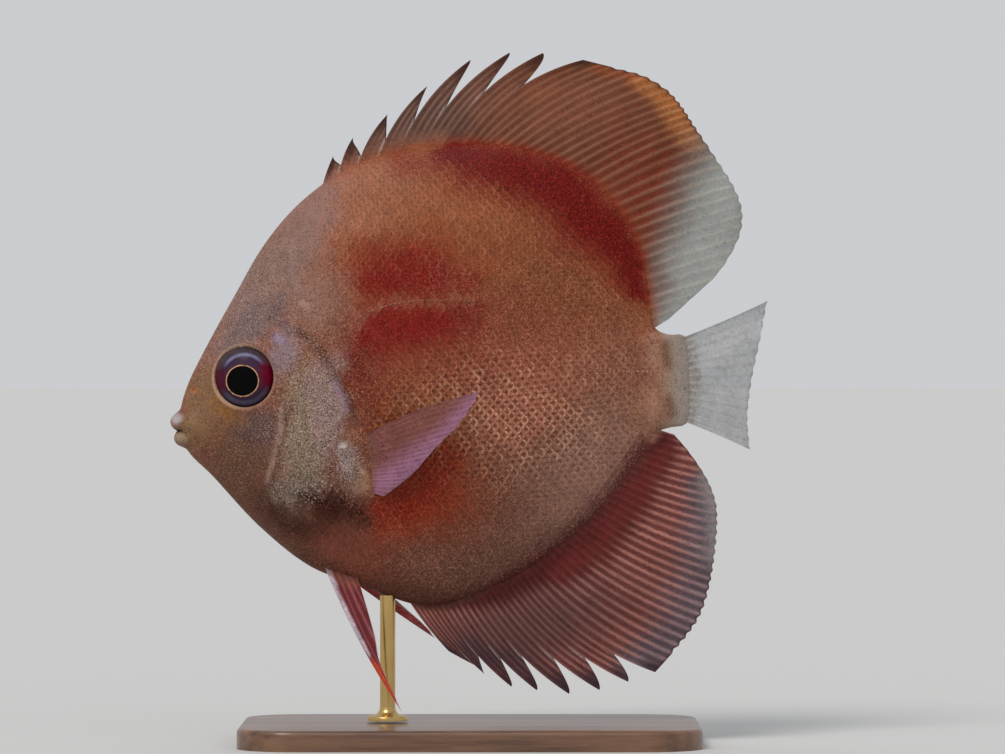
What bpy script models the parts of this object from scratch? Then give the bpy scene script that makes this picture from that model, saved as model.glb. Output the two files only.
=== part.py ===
"""A young discus fish, life size, swimming level on a plain display stand.

The fish is modelled in its own level frame, in millimetres: x runs from the snout to the tail, z is up and
the fish's left side is at -y. An empty then carries it, nose a little down, over the middle of the base.
"""

import math

import bmesh
import bpy
from mathutils import Matrix, Vector

MM = 0.001
GAP = 0.3

# The pose on the stand
NOSE_DOWN = math.radians(4.95)
BASE_SIZE = (72.0, 46.0, 3.2)
BASE_CORNER = 9.0
BASE_BEVEL = 0.7
FIN_CLEARANCE = 1.9
SNOUT_BEHIND_CENTRE = -46.325

# Edge of the body, clockwise from the mouth as seen from the left: x, z and half the thickness there
BODY_EDGE = (
    (1.0, -0.6, 0.45),
    (1.3, 2.5, 0.35),
    (2.7, 6.1, 0.3),
    (6.1, 11.7, 0.3),
    (11.4, 19.6, 0.3),
    (16.0, 26.2, 0.3),
    (20.8, 31.3, 0.35),
    (25.7, 34.9, 0.5),
    (31.2, 37.9, 0.55),
    (40.2, 39.7, 0.55),
    (50.0, 39.9, 0.55),
    (57.6, 38.6, 0.55),
    (64.2, 35.6, 0.55),
    (69.3, 31.5, 0.55),
    (73.1, 25.9, 0.55),
    (75.1, 19.6, 0.55),
    (75.9, 13.0, 0.55),
    (76.2, 8.5, 0.55),
    (78.2, 7.3, 0.6),
    (80.6, 6.9, 0.7),
    (80.9, 0.0, 0.8),
    (79.8, -6.8, 0.7),
    (77.3, -7.2, 0.6),
    (75.3, -7.7, 0.55),
    (72.9, -10.7, 0.55),
    (67.2, -17.0, 0.55),
    (60.2, -23.1, 0.55),
    (51.9, -27.9, 0.55),
    (43.6, -30.9, 0.55),
    (37.9, -31.9, 0.55),
    (33.7, -30.8, 0.45),
    (27.4, -27.8, 0.35),
    (19.6, -24.2, 0.3),
    (12.2, -17.4, 0.3),
    (5.2, -8.5, 0.3),
    (1.8, -4.3, 0.4),
)
BODY_CENTRE = (40.5, 4.2)
DORSAL_FROM, DORSAL_TO = 7.0, 17.0
TAIL_FROM, TAIL_TO = 19.0, 21.0
ANAL_FROM, ANAL_TO = 30.0, 23.0

# Half the thickness of the body along x, before it thins towards the edge
FULLNESS = (
    (0.0, 6.4),
    (8.0, 7.4),
    (18.0, 8.0),
    (30.0, 7.6),
    (42.0, 6.7),
    (56.0, 5.2),
    (70.0, 3.7),
    (82.0, 2.6),
)
THINNING = 2.2
ROUNDNESS = 0.62
THINNEST = 0.05
BODY_ROWS = (0.16, 0.31, 0.45, 0.58, 0.69, 0.79, 0.87, 0.93, 0.97, 1.0)
COLUMN_WIDTH = 2.9
SMOOTHED_COLUMNS = 6
RIM_FROM = 0.55
EDGE_SAMPLES = 240

# The tail swings to the fish's right from here back, and the long fins follow it by a share
SWAY_FROM = 64.0
SWAY_TIP = 96.0
SWAY_AT_TIP = 9.5
FINS_FOLLOW = 0.5

# Where the head ends: down from the nape, under the gill cover, and on to the breast
HEAD_END = (
    (25.3, 46.0),
    (24.9, 30.0),
    (24.6, 18.0),
    (24.0, 12.5),
    (22.6, 8.5),
    (23.4, 3.0),
    (23.6, -1.5),
    (21.2, -6.5),
    (18.4, -10.4),
    (16.2, -15.5),
    (12.6, -30.0),
)
STALK_FROM = 75.75
STALK_LEAN = 0.07
FAR = 100.0
CUTTER_DEPTH = 20.0

# Gill cover, one lobe behind the cheek
GILL_COVER = (
    (18.9, 10.9),
    (21.6, 11.3),
    (24.0, 10.0),
    (25.9, 6.8),
    (27.2, 3.2),
    (28.1, -0.4),
    (27.3, -3.1),
    (25.4, -5.0),
    (21.4, -9.2),
    (18.4, -11.8),
    (15.6, -13.4),
    (13.9, -12.6),
    (14.2, -9.0),
    (15.4, -4.6),
    (17.0, 0.6),
    (18.0, 5.6),
)
GILL_COVER_RISE = 0.35
GILL_COVER_DEPTH = 1.5

# Eye, an upright lens turned a little towards the snout
EYE_AT = (11.7, 6.35)
EYE_RADIUS = 4.75
EYE_DEPTH = 2.3
EYE_SUNK = 1.35
EYE_TURN = math.radians(13.0)
EYE_SEGMENTS = 24
EYE_RINGS = 12
EYE_RIM_RADIUS = 5.2
EYE_RIM_THICKNESS = 0.5
EYE_RIM_SUNK = 0.25
EYE_RIM_SIDES = 6
UPRIGHT = Matrix.Rotation(math.radians(90.0), 4, "X")

NOSTRIL_AT = (3.5, 5.0)
NOSTRIL_RADIUS = 0.45
NOSTRIL_DEPTH = 0.6
NOSTRIL_SIDES = 10

# Lips: height of the middle, reach forward of the corners, half the gape and half the thickness
LIP_CORNER_X = 3.1
UPPER_LIP = (0.3, 2.6, 1.5, 1.2)
LOWER_LIP = (-2.3, 2.35, 1.4, 1.1)
LIP_SWEEP = math.radians(76.0)
LIP_TAPER = 0.45
LIP_INNER_SHARE = 0.35
LIP_STATIONS = 13
LIP_SIDES = 10
MOUTH_AT = (1.0, -1.0)
MOUTH_SIZE = (3.0, 1.4, 2.0)
MOUTH_SEGMENTS = 16
MOUTH_RINGS = 8

# Spines, front to back: x and z of the tip, how far the spine curves back in degrees, and the share of its
# length at which the skin in front of it joins it
DORSAL_SPINES = (
    (28.4, 39.8, 14.0, 0.5),
    (31.8, 42.5, 28.0, 0.4),
    (37.5, 45.6, 30.0, 0.34),
    (44.0, 49.4, 33.0, 0.3),
    (51.1, 52.9, 36.0, 0.34),
    (57.3, 53.5, 36.0, 0.41),
    (62.5, 53.0, 37.0, 0.5),
    (68.7, 51.4, 44.0, 0.58),
)
ANAL_SPINES = (
    (39.7, -39.2, 12.0, 0.6),
    (45.0, -43.3, 18.0, 0.6),
    (49.0, -45.6, 24.0, 0.6),
    (52.9, -46.5, 25.0, 0.61),
    (57.9, -47.5, 28.0, 0.57),
    (62.7, -47.3, 28.0, 0.64),
    (67.3, -46.4, 32.0, 0.7),
    (71.7, -45.3, 36.0, 0.74),
)
SPINES_SHARE_OF_DORSAL = 0.385
SPINES_SHARE_OF_ANAL = 0.44
LAST_NOTCH = 0.92
SOFT_MIDDLE = 0.5
NOTCH_FADES_OVER = 4

# Soft rays, at shares of their stretch of root: x and z of the tip and how far the ray curves back in degrees
DORSAL_SOFT = (
    (0.0, 73.1, 49.9, 26.0),
    (0.1, 78.2, 48.0, 20.0),
    (0.2, 82.2, 44.8, 17.0),
    (0.41, 85.8, 38.7, 14.0),
    (0.52, 88.6, 33.7, 12.0),
    (0.61, 90.7, 29.6, 10.0),
    (0.7, 91.7, 25.6, 8.0),
    (0.79, 90.7, 21.3, 6.0),
    (0.88, 87.0, 16.2, 4.0),
    (0.94, 82.6, 12.7, 2.0),
    (1.0, 78.6, 9.7, 0.0),
)
ANAL_SOFT = (
    (0.0, 74.6, -42.6, 24.0),
    (0.1, 77.4, -39.8, 22.0),
    (0.2, 79.6, -36.9, 20.0),
    (0.31, 81.2, -33.2, 18.0),
    (0.45, 82.5, -28.4, 15.0),
    (0.58, 83.4, -23.6, 12.0),
    (0.68, 83.6, -20.1, 10.0),
    (0.77, 82.9, -16.9, 8.0),
    (0.85, 81.6, -14.0, 6.0),
    (0.92, 79.8, -11.0, 3.0),
    (1.0, 77.9, -8.4, 0.0),
)
TAIL_RAYS = (
    (0.0, 94.7, 11.3, -5.0),
    (0.25, 92.9, 5.0, -3.0),
    (0.5, 91.1, -0.9, 0.0),
    (0.75, 89.9, -6.5, 3.0),
    (1.0, 89.8, -11.9, 5.0),
)
PECTORAL_RAYS = (
    (0.0, 48.0, 0.9, 7.0),
    (0.12, 46.9, -0.4, 6.0),
    (0.3, 44.0, -3.9, 0.0),
    (0.5, 40.5, -7.2, -8.0),
    (0.7, 37.2, -10.4, -12.0),
    (0.85, 34.9, -12.1, -14.0),
    (1.0, 31.9, -14.0, -10.0),
)
LEFT_PELVIC_RAYS = (
    (0.0, 31.7, -47.8, -12.0),
    (0.25, 30.5, -44.4, -12.0),
    (0.45, 29.0, -40.2, -8.0),
    (0.65, 28.4, -35.4, -4.0),
    (0.85, 27.5, -30.9, 0.0),
    (1.0, 26.9, -28.2, 0.0),
)
RIGHT_PELVIC_RAYS = (
    (0.0, 37.7, -37.3, -4.0),
    (0.3, 36.4, -35.3, 0.0),
    (0.6, 33.4, -32.0, 0.0),
    (1.0, 31.2, -29.6, 0.0),
)
DORSAL_SOFT_COUNT = 29
ANAL_SOFT_COUNT = 26
TAIL_RAY_COUNT = 14
PECTORAL_RAY_COUNT = 10
PELVIC_RAY_COUNT = 6

# Where the paired fins grow, how far from the middle plane, and how they leave it: the distance that they
# reach outwards, and over what length they turn to lie along the body
LEFT_PELVIC_ROOT = ((21.4, -24.0), (26.5, -26.6))
RIGHT_PELVIC_ROOT = ((23.8, -25.4), (28.2, -27.6))
PELVIC_ROOT_Y = 1.1
LEFT_PELVIC_FLARE = (9.0, 40.0)
RIGHT_PELVIC_FLARE = (8.0, 20.0)
PECTORAL_ROOT = ((27.9, -5.2), (29.2, -12.8))
PECTORAL_ROOT_Y = 5.6
PECTORAL_FLARE = (5.2, 8.0)

# Half the thickness of fins: ray at the root, ray at the margin, skin at the root and at the margin
MEDIAN_FIN_HALF = (0.55, 0.31, 0.42, 0.25)
PAIRED_FIN_HALF = (0.6, 0.31, 0.5, 0.25)
LOWER_ROWS = 3
UPPER_ROWS = 3
LAPPET_STEPS = (0.0, 0.33, 0.67, 1.0)
LAPPET_FULLNESS = 1.7

ROD_AT_X = 30.9
ROD_RADIUS = 1.2
ROD_TOP_ABOVE_EDGE = 1.3
ROD_FOOT_RADIUS = 3.2
ROD_FOOT_HEIGHT = 0.8
ROD_FOOT_EDGE = 0.3
ROD_FILLET = (0.4, 0.9)
ROD_SIDES = 20
WELD = 0.00001

BASE_CORNER_STEPS = 7
BASE_BEVEL_STEPS = 2
SHARP_ANGLE = math.radians(40.0)

COLOURS = {
    "flesh": ((0.33, 0.115, 0.06), 0.42, 0.0),
    "head": ((0.3, 0.16, 0.1), 0.42, 0.0),
    "gill": ((0.36, 0.26, 0.17), 0.36, 0.0),
    "lip": ((0.5, 0.4, 0.3), 0.4, 0.0),
    "fin": ((0.25, 0.07, 0.05), 0.45, 0.0),
    "clear_fin": ((0.6, 0.6, 0.58), 0.4, 0.0),
    "pectoral": ((0.4, 0.2, 0.25), 0.4, 0.0),
    "eye": ((0.03, 0.012, 0.02), 0.08, 0.0),
    "walnut": ((0.06, 0.03, 0.017), 0.4, 0.0),
    "brass": ((0.7, 0.5, 0.2), 0.3, 1.0),
}


def clear_scene():
    for old in list(bpy.data.objects):
        bpy.data.objects.remove(old)


def material(name):
    made = bpy.data.materials.get(name)
    if made:
        return made
    colour, roughness, metallic = COLOURS[name]
    made = bpy.data.materials.new(name)
    made.use_nodes = True
    shader = made.node_tree.nodes["Principled BSDF"]
    shader.inputs["Base Color"].default_value = (*colour, 1.0)
    shader.inputs["Roughness"].default_value = roughness
    shader.inputs["Metallic"].default_value = metallic
    made.diffuse_color = (*colour, 1.0)
    return made


def smooth_table(rows, x):
    """The values of a table at x, on a smooth curve through its rows."""
    x = min(max(x, rows[0][0]), rows[-1][0])
    i = next(k for k in range(len(rows) - 1) if x <= rows[k + 1][0])

    def slope(k, column):
        before, after = max(k - 1, 0), min(k + 1, len(rows) - 1)
        return (rows[after][column] - rows[before][column]) / (rows[after][0] - rows[before][0])

    width = rows[i + 1][0] - rows[i][0]
    t = (x - rows[i][0]) / width
    values = []
    for column in range(1, len(rows[0])):
        start, end = rows[i][column], rows[i + 1][column]
        values.append(
            (2 * t**3 - 3 * t**2 + 1) * start
            + (t**3 - 2 * t**2 + t) * width * slope(i, column)
            + (3 * t**2 - 2 * t**3) * end
            + (t**3 - t**2) * width * slope(i + 1, column)
        )
    return values


def body_edge(s):
    """x, z and half the thickness of the body's edge, where s counts the points of BODY_EDGE."""
    count = len(BODY_EDGE)
    i = math.floor(s)
    before, start, end, after = (Vector(BODY_EDGE[(i + k) % count]) for k in (-1, 0, 1, 2))
    knots = [0.0]
    for a, b in ((before, start), (start, end), (end, after)):
        knots.append(knots[-1] + math.sqrt((b.xy - a.xy).length))
    at = knots[1] + (s - i) * (knots[2] - knots[1])

    def between(a, b, low, high):
        return a.lerp(b, (at - knots[low]) / (knots[high] - knots[low]))

    first = between(before, start, 0, 1)
    second = between(start, end, 1, 2)
    third = between(end, after, 2, 3)
    return between(between(first, second, 0, 2), between(second, third, 1, 3), 1, 2)


def stretch_of_edge(start, end, shares, away=GAP):
    """Points at these shares of the length of a stretch of the body's edge, this far outside it."""
    samples = [start + (end - start) * i / EDGE_SAMPLES for i in range(EDGE_SAMPLES + 1)]
    points = [body_edge(s).xy for s in samples]
    lengths = [0.0]
    for a, b in zip(points, points[1:]):
        lengths.append(lengths[-1] + (b - a).length)
    turn = 1 if end > start else -1
    found = []
    for share in shares:
        goal = share * lengths[-1]
        i = next((k for k in range(EDGE_SAMPLES) if goal <= lengths[k + 1]), EDGE_SAMPLES - 1)
        part = (goal - lengths[i]) / (lengths[i + 1] - lengths[i])
        tangent = (points[i + 1] - points[i]).normalized() * turn
        found.append(points[i].lerp(points[i + 1], part) + Vector((-tangent.y, tangent.x)) * away)
    return found


def sway(x):
    """How far the fish's middle plane lies to its right, at x."""
    return SWAY_AT_TIP * max(0.0, (x - SWAY_FROM) / (SWAY_TIP - SWAY_FROM)) ** 2


def sway_slope(x):
    return 2 * SWAY_AT_TIP * max(0.0, x - SWAY_FROM) / (SWAY_TIP - SWAY_FROM) ** 2


def body_columns():
    """The edge at each column of the body's mesh, and its reach from the centre, smoothed along the edge."""
    columns = []
    for i in range(len(BODY_EDGE)):
        length = (body_edge(i + 1).xy - body_edge(i).xy).length
        steps = max(1, round(length / COLUMN_WIDTH))
        columns += [body_edge(i + k / steps) for k in range(steps)]
    centre = Vector(BODY_CENTRE)
    reaches = [(edge.xy - centre).length for edge in columns]
    around = range(-SMOOTHED_COLUMNS, SMOOTHED_COLUMNS + 1)
    smooth = [
        sum(reaches[(k + near) % len(reaches)] for near in around) / len(around) for k in range(len(reaches))
    ]
    return list(zip(columns, smooth))


def half_thickness(point, edge, smooth_reach):
    """Half the thickness of the body at a point on the line from its centre to this point of its edge."""
    centre = Vector(BODY_CENTRE)
    away = (point - centre).length
    out = min(1.0, away / (edge.xy - centre).length)
    rim = max(0.0, (out - RIM_FROM) / (1 - RIM_FROM))
    rim = rim * rim * (3 - 2 * rim)
    out = min(1.0, out * rim + away / smooth_reach * (1 - rim))
    full = smooth_table(FULLNESS, point.x)[0]
    return edge.z + (full - edge.z) * (1 - out**THINNING) ** ROUNDNESS


def surface_y(x, z):
    """Half the thickness of the body at a point of its side."""
    centre = Vector(BODY_CENTRE)
    point = Vector((x, z))

    def turned(column):
        reach = column[0].xy - centre
        return abs(reach.angle_signed(point - centre))

    return half_thickness(point, *min(body_columns(), key=turned))


def set_look(made, look):
    made.data.materials.clear()
    made.data.materials.append(material(look))


def new_object(name, points, faces, look="flesh"):
    """A mesh object of points in millimetres in the level frame, its faces turned outwards."""
    mesh = bpy.data.meshes.new(name)
    mesh.from_pydata([Vector(p) * MM for p in points], [], faces)
    bm = bmesh.new()
    bm.from_mesh(mesh)
    bmesh.ops.recalc_face_normals(bm, faces=bm.faces)
    bm.to_mesh(mesh)
    bm.free()
    made = bpy.data.objects.new(name, mesh)
    set_look(made, look)
    fish_parts.objects.link(made)
    return made


def body_shape(name, grow=0.0):
    """The whole body as one flat disc with swollen sides, grown by this much all round."""
    columns = body_columns()
    count, rows = len(columns), len(BODY_ROWS)
    centre = Vector(BODY_CENTRE)
    points, faces = [], []
    for side in (-1, 1):
        first = len(points)
        middle = half_thickness(centre, *columns[0]) + grow
        points.append((centre.x, side * middle, centre.y))
        for out in BODY_ROWS:
            for edge, smooth_reach in columns:
                reach = edge.xy - centre
                flat = centre + reach * out
                y = max(THINNEST, half_thickness(flat, edge, smooth_reach) + grow)
                flat += reach.normalized() * grow * out
                points.append((flat.x, side * y, flat.y))
        for k in range(count):
            after = (k + 1) % count
            faces.append((first, first + 1 + k, first + 1 + after))
            for row in range(rows - 1):
                inner, outer = first + 1 + row * count, first + 1 + (row + 1) * count
                faces.append((inner + k, outer + k, outer + after))
                faces.append((inner + k, outer + after, inner + after))
    left, right = 1 + (rows - 1) * count, 2 + (2 * rows - 1) * count
    for k in range(count):
        after = (k + 1) % count
        faces.append((left + k, right + k, right + after, left + after))
    return new_object(name, points, faces)


def prism(name, outline, y_from, y_to):
    """A flat outline of x and z carried across from one y to the other."""
    count = len(outline)
    points = [(x, y, z) for y in (y_from, y_to) for x, z in outline]
    faces = [tuple(range(count)), tuple(range(count, 2 * count))]
    faces += [(k, (k + 1) % count, count + (k + 1) % count, count + k) for k in range(count)]
    return new_object(name, points, faces)


def rounded(outline, steps):
    """A closed outline with this many points on a smooth curve from each of its points to the next."""
    count = len(outline)
    points = []
    for i in range(count):
        before, start, end, after = (Vector(outline[(i + k) % count]) for k in (-1, 0, 1, 2))
        for step in range(steps):
            t = step / steps
            points.append(
                0.5
                * (
                    2 * start
                    + (end - before) * t
                    + (2 * before - 5 * start + 4 * end - after) * t**2
                    + (3 * start - before - 3 * end + after) * t**3
                )
            )
    return points


def grown(outline, distance):
    """A closed clockwise outline moved outwards by a distance."""
    count = len(outline)
    moved = []
    for i in range(count):
        along = (Vector(outline[(i + 1) % count]) - Vector(outline[i - 1])).normalized()
        moved.append(Vector(outline[i]) + Vector((-along.y, along.x)) * distance)
    return moved


def combine(target, operation, *others):
    """Cuts, keeps or joins other shapes in the target, keeps its largest closed surface, and removes them."""
    helpers = bpy.data.collections.new("helpers")
    for other in others:
        helpers.objects.link(other)
    modifier = target.modifiers.new("combine", "BOOLEAN")
    modifier.operation = operation
    modifier.solver = "EXACT"
    if len(others) == 1:
        modifier.object = others[0]
    else:
        modifier.operand_type = "COLLECTION"
        modifier.collection = helpers
    bpy.context.view_layer.update()
    made = bpy.data.meshes.new_from_object(target.evaluated_get(bpy.context.evaluated_depsgraph_get()))
    target.modifiers.clear()
    old, target.data = target.data, made
    bpy.data.meshes.remove(old)
    for other in others:
        bpy.data.objects.remove(other)
    bpy.data.collections.remove(helpers)
    keep_largest(target.data)
    return target


def keep_largest(mesh):
    bm = bmesh.new()
    bm.from_mesh(mesh)
    unseen, islands = set(bm.verts), []
    while unseen:
        reached, edge_of_it = set(), [unseen.pop()]
        while edge_of_it:
            vertex = edge_of_it.pop()
            reached.add(vertex)
            near = {e.other_vert(vertex) for e in vertex.link_edges} & unseen
            unseen -= near
            edge_of_it += near
        islands.append(reached)
    largest = max(islands, key=len)
    bmesh.ops.delete(bm, geom=[v for v in bm.verts if v not in largest], context="VERTS")
    bm.to_mesh(mesh)
    bm.free()


def on_side(x, z, side, sunk=0.0):
    """Moves a shape to this point of one side of the body, sunk into it by this much."""
    return Matrix.Translation(Vector((x, side * (surface_y(x, z) - sunk), z)) * MM)


def eye_shape(name, side, grow=0.0):
    """One eye, or the space for it where it is grown."""
    bpy.ops.mesh.primitive_uv_sphere_add(segments=EYE_SEGMENTS, ring_count=EYE_RINGS, radius=MM)
    made = bpy.context.object
    made.name = made.data.name = name
    radius, depth = EYE_RADIUS + grow, EYE_DEPTH + grow
    turn = Matrix.Rotation(side * EYE_TURN, 4, "Z")
    place = on_side(*EYE_AT, side, EYE_SUNK)
    made.data.transform(place @ turn @ UPRIGHT @ Matrix.Diagonal((radius, radius, depth, 1.0)))
    set_look(made, "eye")
    move_to_parts(made)
    return made


def eye_rim(side):
    """The raised fold of skin round an eye."""
    bpy.ops.mesh.primitive_torus_add(
        major_segments=EYE_SEGMENTS,
        minor_segments=EYE_RIM_SIDES,
        major_radius=EYE_RIM_RADIUS * MM,
        minor_radius=EYE_RIM_THICKNESS * MM,
    )
    made = bpy.context.object
    turn = Matrix.Rotation(side * EYE_TURN, 4, "Z")
    made.data.transform(on_side(*EYE_AT, side, EYE_RIM_SUNK) @ turn @ UPRIGHT)
    move_to_parts(made)
    return made


def move_to_parts(made):
    for collection in list(made.users_collection):
        collection.objects.unlink(made)
    fish_parts.objects.link(made)


def nostril(side):
    """A short round pit, as a cutter."""
    bpy.ops.mesh.primitive_cylinder_add(
        vertices=NOSTRIL_SIDES, radius=NOSTRIL_RADIUS * MM, depth=2 * NOSTRIL_DEPTH * MM
    )
    made = bpy.context.object
    made.data.transform(on_side(*NOSTRIL_AT, side) @ UPRIGHT)
    move_to_parts(made)
    return made


def mouth_space():
    """The hollow of the mouth behind the lips, as a cutter."""
    bpy.ops.mesh.primitive_uv_sphere_add(segments=MOUTH_SEGMENTS, ring_count=MOUTH_RINGS, radius=MM)
    made = bpy.context.object
    place = Matrix.Translation(Vector((MOUTH_AT[0], 0.0, MOUTH_AT[1])) * MM)
    made.data.transform(place @ Matrix.Diagonal((*MOUTH_SIZE, 1.0)))
    move_to_parts(made)
    return made


def lip_shape(name, sizes, grow=0.0):
    """A lip as a thick arc round the mouth, thinner at its corners."""
    height, reach, gape, radius = sizes
    points, faces = [], []
    for i in range(LIP_STATIONS):
        share = 2 * i / (LIP_STATIONS - 1) - 1
        sweep = share * LIP_SWEEP
        middle = Vector((LIP_CORNER_X - reach * math.cos(sweep), gape * math.sin(sweep), height))
        outward = Vector((-gape * math.cos(sweep), reach * math.sin(sweep), 0.0)).normalized()
        size = radius * (1 - LIP_TAPER * share**4)
        for k in range(LIP_SIDES):
            angle = math.tau * k / LIP_SIDES
            depth = size if math.cos(angle) > 0 else size * LIP_INNER_SHARE
            across = outward * math.cos(angle) * (depth + grow)
            points.append(middle + across + Vector((0.0, 0.0, math.sin(angle) * (size + grow))))
    for i in range(LIP_STATIONS - 1):
        for k in range(LIP_SIDES):
            after = (k + 1) % LIP_SIDES
            low, high = i * LIP_SIDES, (i + 1) * LIP_SIDES
            faces.append((low + k, low + after, high + after, high + k))
    last = (LIP_STATIONS - 1) * LIP_SIDES
    faces += [tuple(range(LIP_SIDES)), tuple(range(last, last + LIP_SIDES))]
    return new_object(name, points, faces, "lip")


def ray_point(root, tip, bend, t):
    """A point at share t of a ray that curves by so many degrees between its root and its tip."""
    root, tip = Vector(root), Vector(tip)
    chord = tip - root
    bow = Vector((-chord.y, chord.x)) * 0.5 * math.tan(math.radians(bend) / 2)
    middle = (root + tip) / 2 + bow
    return root * (1 - t) ** 2 + middle * 2 * t * (1 - t) + tip * t**2


def mix(a, b, share):
    return tuple(x * (1 - share) + y * share for x, y in zip(a, b))


def row_shares(joined, margin):
    """Shares of a ray's length for its rows, up to where the skin joins it and then up to the margin."""
    lower = [joined * k / LOWER_ROWS for k in range(LOWER_ROWS + 1)]
    return lower + [joined + (margin - joined) * (k + 1) / UPPER_ROWS for k in range(UPPER_ROWS)]


def fin_half(is_ray, t, sizes):
    ray_root, ray_margin, skin_root, skin_margin = sizes
    root, margin = (ray_root, ray_margin) if is_ray else (skin_root, skin_margin)
    return root + (margin - root) * t


def sheet_solid(name, panels, look):
    """A closed sheet from panels of columns of (point, half thickness vector), split alike on both faces.

    Points that two columns share are made one, so a panel may end on a part of the next one's first column.
    """
    numbers, middles, halves = {}, [], []

    def number(point, half):
        key = tuple(round(c, 4) for c in point)
        if key not in numbers:
            numbers[key] = len(middles)
            middles.append(point)
            halves.append(half)
        return numbers[key]

    near = []
    for panel in panels:
        rows = [[number(*place) for place in column] for column in panel]
        for first, second in zip(rows, rows[1:]):
            for j in range(len(first) - 1):
                near.append((first[j], second[j], second[j + 1]))
                near.append((first[j], second[j + 1], first[j + 1]))
    near = [face for face in near if len(set(face)) == 3]
    far = len(middles)
    points = [m - h for m, h in zip(middles, halves)] + [m + h for m, h in zip(middles, halves)]
    faces = near + [tuple(far + v for v in reversed(face)) for face in near]
    edges = {(face[k], face[(k + 1) % 3]) for face in near for k in range(3)}
    for a, b in edges:
        if (b, a) not in edges:
            faces += [(a, a + far, b + far), (a, b + far, b)]
    return new_object(name, points, sorted(faces), look)


def median_column(root, ray, is_ray, shares):
    """One column of a fin of the middle plane, which follows the sway of the body at its root."""
    tip_x, tip_z, bend = ray
    column = []
    for t in shares:
        x, z = ray_point(root, (tip_x, tip_z), bend, t)
        y = sway(root.x) + FINS_FOLLOW * sway_slope(root.x) * (x - root.x)
        column.append((Vector((x, y, z)), Vector((0.0, fin_half(is_ray, t, MEDIAN_FIN_HALF), 0.0))))
    return column


def median_panels(edge_from, edge_to, spines, spines_share, soft_table, soft_count, turn):
    """A dorsal or anal fin: spines with the skin notched behind each tip, then soft rays. turn is 1 or -1."""
    first_soft = (*soft_table[0][1:], LAST_NOTCH)
    plans = []
    for i, spine in enumerate(spines):
        following = spines[i + 1] if i + 1 < len(spines) else first_soft
        plan = []
        for step in LAPPET_STEPS:
            x, z, bend, joined = mix(spine, following, step)
            margin = 1 - (1 - joined) * step**LAPPET_FULLNESS
            share = spines_share * (i + step) / len(spines)
            plan.append((share, (x, z, turn * bend), step in (0.0, 1.0), row_shares(joined, margin)))
        plans.append(plan)
    plan = []
    columns = 2 * soft_count - 1
    for k in range(columns):
        along = k / (columns - 1)
        x, z, bend = smooth_table(soft_table, along)
        joined = SOFT_MIDDLE + (LAST_NOTCH - SOFT_MIDDLE) * max(0.0, 1 - k / NOTCH_FADES_OVER)
        share = spines_share + (1 - spines_share) * along
        plan.append((share, (x, z, turn * bend), k % 2 == 0, row_shares(joined, 1.0)))
    plans.append(plan)
    panels = []
    for plan in plans:
        roots = stretch_of_edge(edge_from, edge_to, [row[0] for row in plan])
        panels.append([median_column(root, *row[1:]) for root, row in zip(roots, plan)])
    return panels


def dorsal_fin():
    panels = median_panels(
        DORSAL_FROM, DORSAL_TO, DORSAL_SPINES, SPINES_SHARE_OF_DORSAL, DORSAL_SOFT, DORSAL_SOFT_COUNT, 1
    )
    return sheet_solid("dorsal_fin", panels, "fin")


def anal_fin():
    panels = median_panels(
        ANAL_FROM, ANAL_TO, ANAL_SPINES, SPINES_SHARE_OF_ANAL, ANAL_SOFT, ANAL_SOFT_COUNT, -1
    )
    return sheet_solid("anal_fin", panels, "fin")


def tail_fin():
    count = 2 * TAIL_RAY_COUNT - 1
    shares = [k / (count - 1) for k in range(count)]
    columns = []
    for k, root in enumerate(stretch_of_edge(TAIL_FROM, TAIL_TO, shares)):
        tip_x, tip_z, bend = smooth_table(TAIL_RAYS, shares[k])
        column = []
        for t in row_shares(SOFT_MIDDLE, 1.0):
            x, z = ray_point(root, (tip_x, tip_z), bend, t)
            half = fin_half(k % 2 == 0, t, MEDIAN_FIN_HALF)
            column.append((Vector((x, sway(x), z)), Vector((0.0, half, 0.0))))
        columns.append(column)
    return sheet_solid("tail_fin", [columns], "clear_fin")


def paired_fin(name, side, root_line, root_y, rays, count, flare, look):
    """A pectoral or pelvic fin, which leaves the body sideways and turns to lie along it."""
    reach, turning = flare
    first, last = (Vector(p) for p in root_line)
    total = 2 * count - 1
    columns = []
    for k in range(total):
        share = k / (total - 1)
        root = first.lerp(last, share)
        tip_x, tip_z, bend = smooth_table(rays, share)
        ahead = Vector((tip_x, tip_z)) - root
        column = []
        for t in row_shares(SOFT_MIDDLE, 1.0):
            x, z = ray_point(root, (tip_x, tip_z), bend, t)
            fade = math.exp(-t * ahead.length / turning)
            slope = ahead.normalized() * fade * reach / turning
            across = Vector((-slope.x, side, -slope.y)).normalized()
            middle = Vector((x, side * (root_y + reach * (1 - fade)), z))
            column.append((middle, across * fin_half(k % 2 == 0, t, PAIRED_FIN_HALF)))
        columns.append(column)
    fin = sheet_solid(name, [columns], look)
    return combine(fin, "DIFFERENCE", body_shape("body_space", GAP))


def gill_cover(name, side):
    """A thin curved plate that stands a little proud of the head."""
    plate = prism(name, rounded(GILL_COVER, 2), 0.0, side * CUTTER_DEPTH)
    combine(plate, "INTERSECT", body_shape("outer", GILL_COVER_RISE))
    combine(plate, "DIFFERENCE", body_shape("inner", -GILL_COVER_DEPTH))
    set_look(plate, "gill")
    return plate


def gill_pocket(side):
    """The space that a gill cover fills, as a cutter."""
    outline = grown(rounded(GILL_COVER, 2), GAP)
    pocket = prism("pocket", outline, 0.0, side * CUTTER_DEPTH)
    return combine(pocket, "DIFFERENCE", body_shape("inner", -GILL_COVER_DEPTH - GAP))


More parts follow.
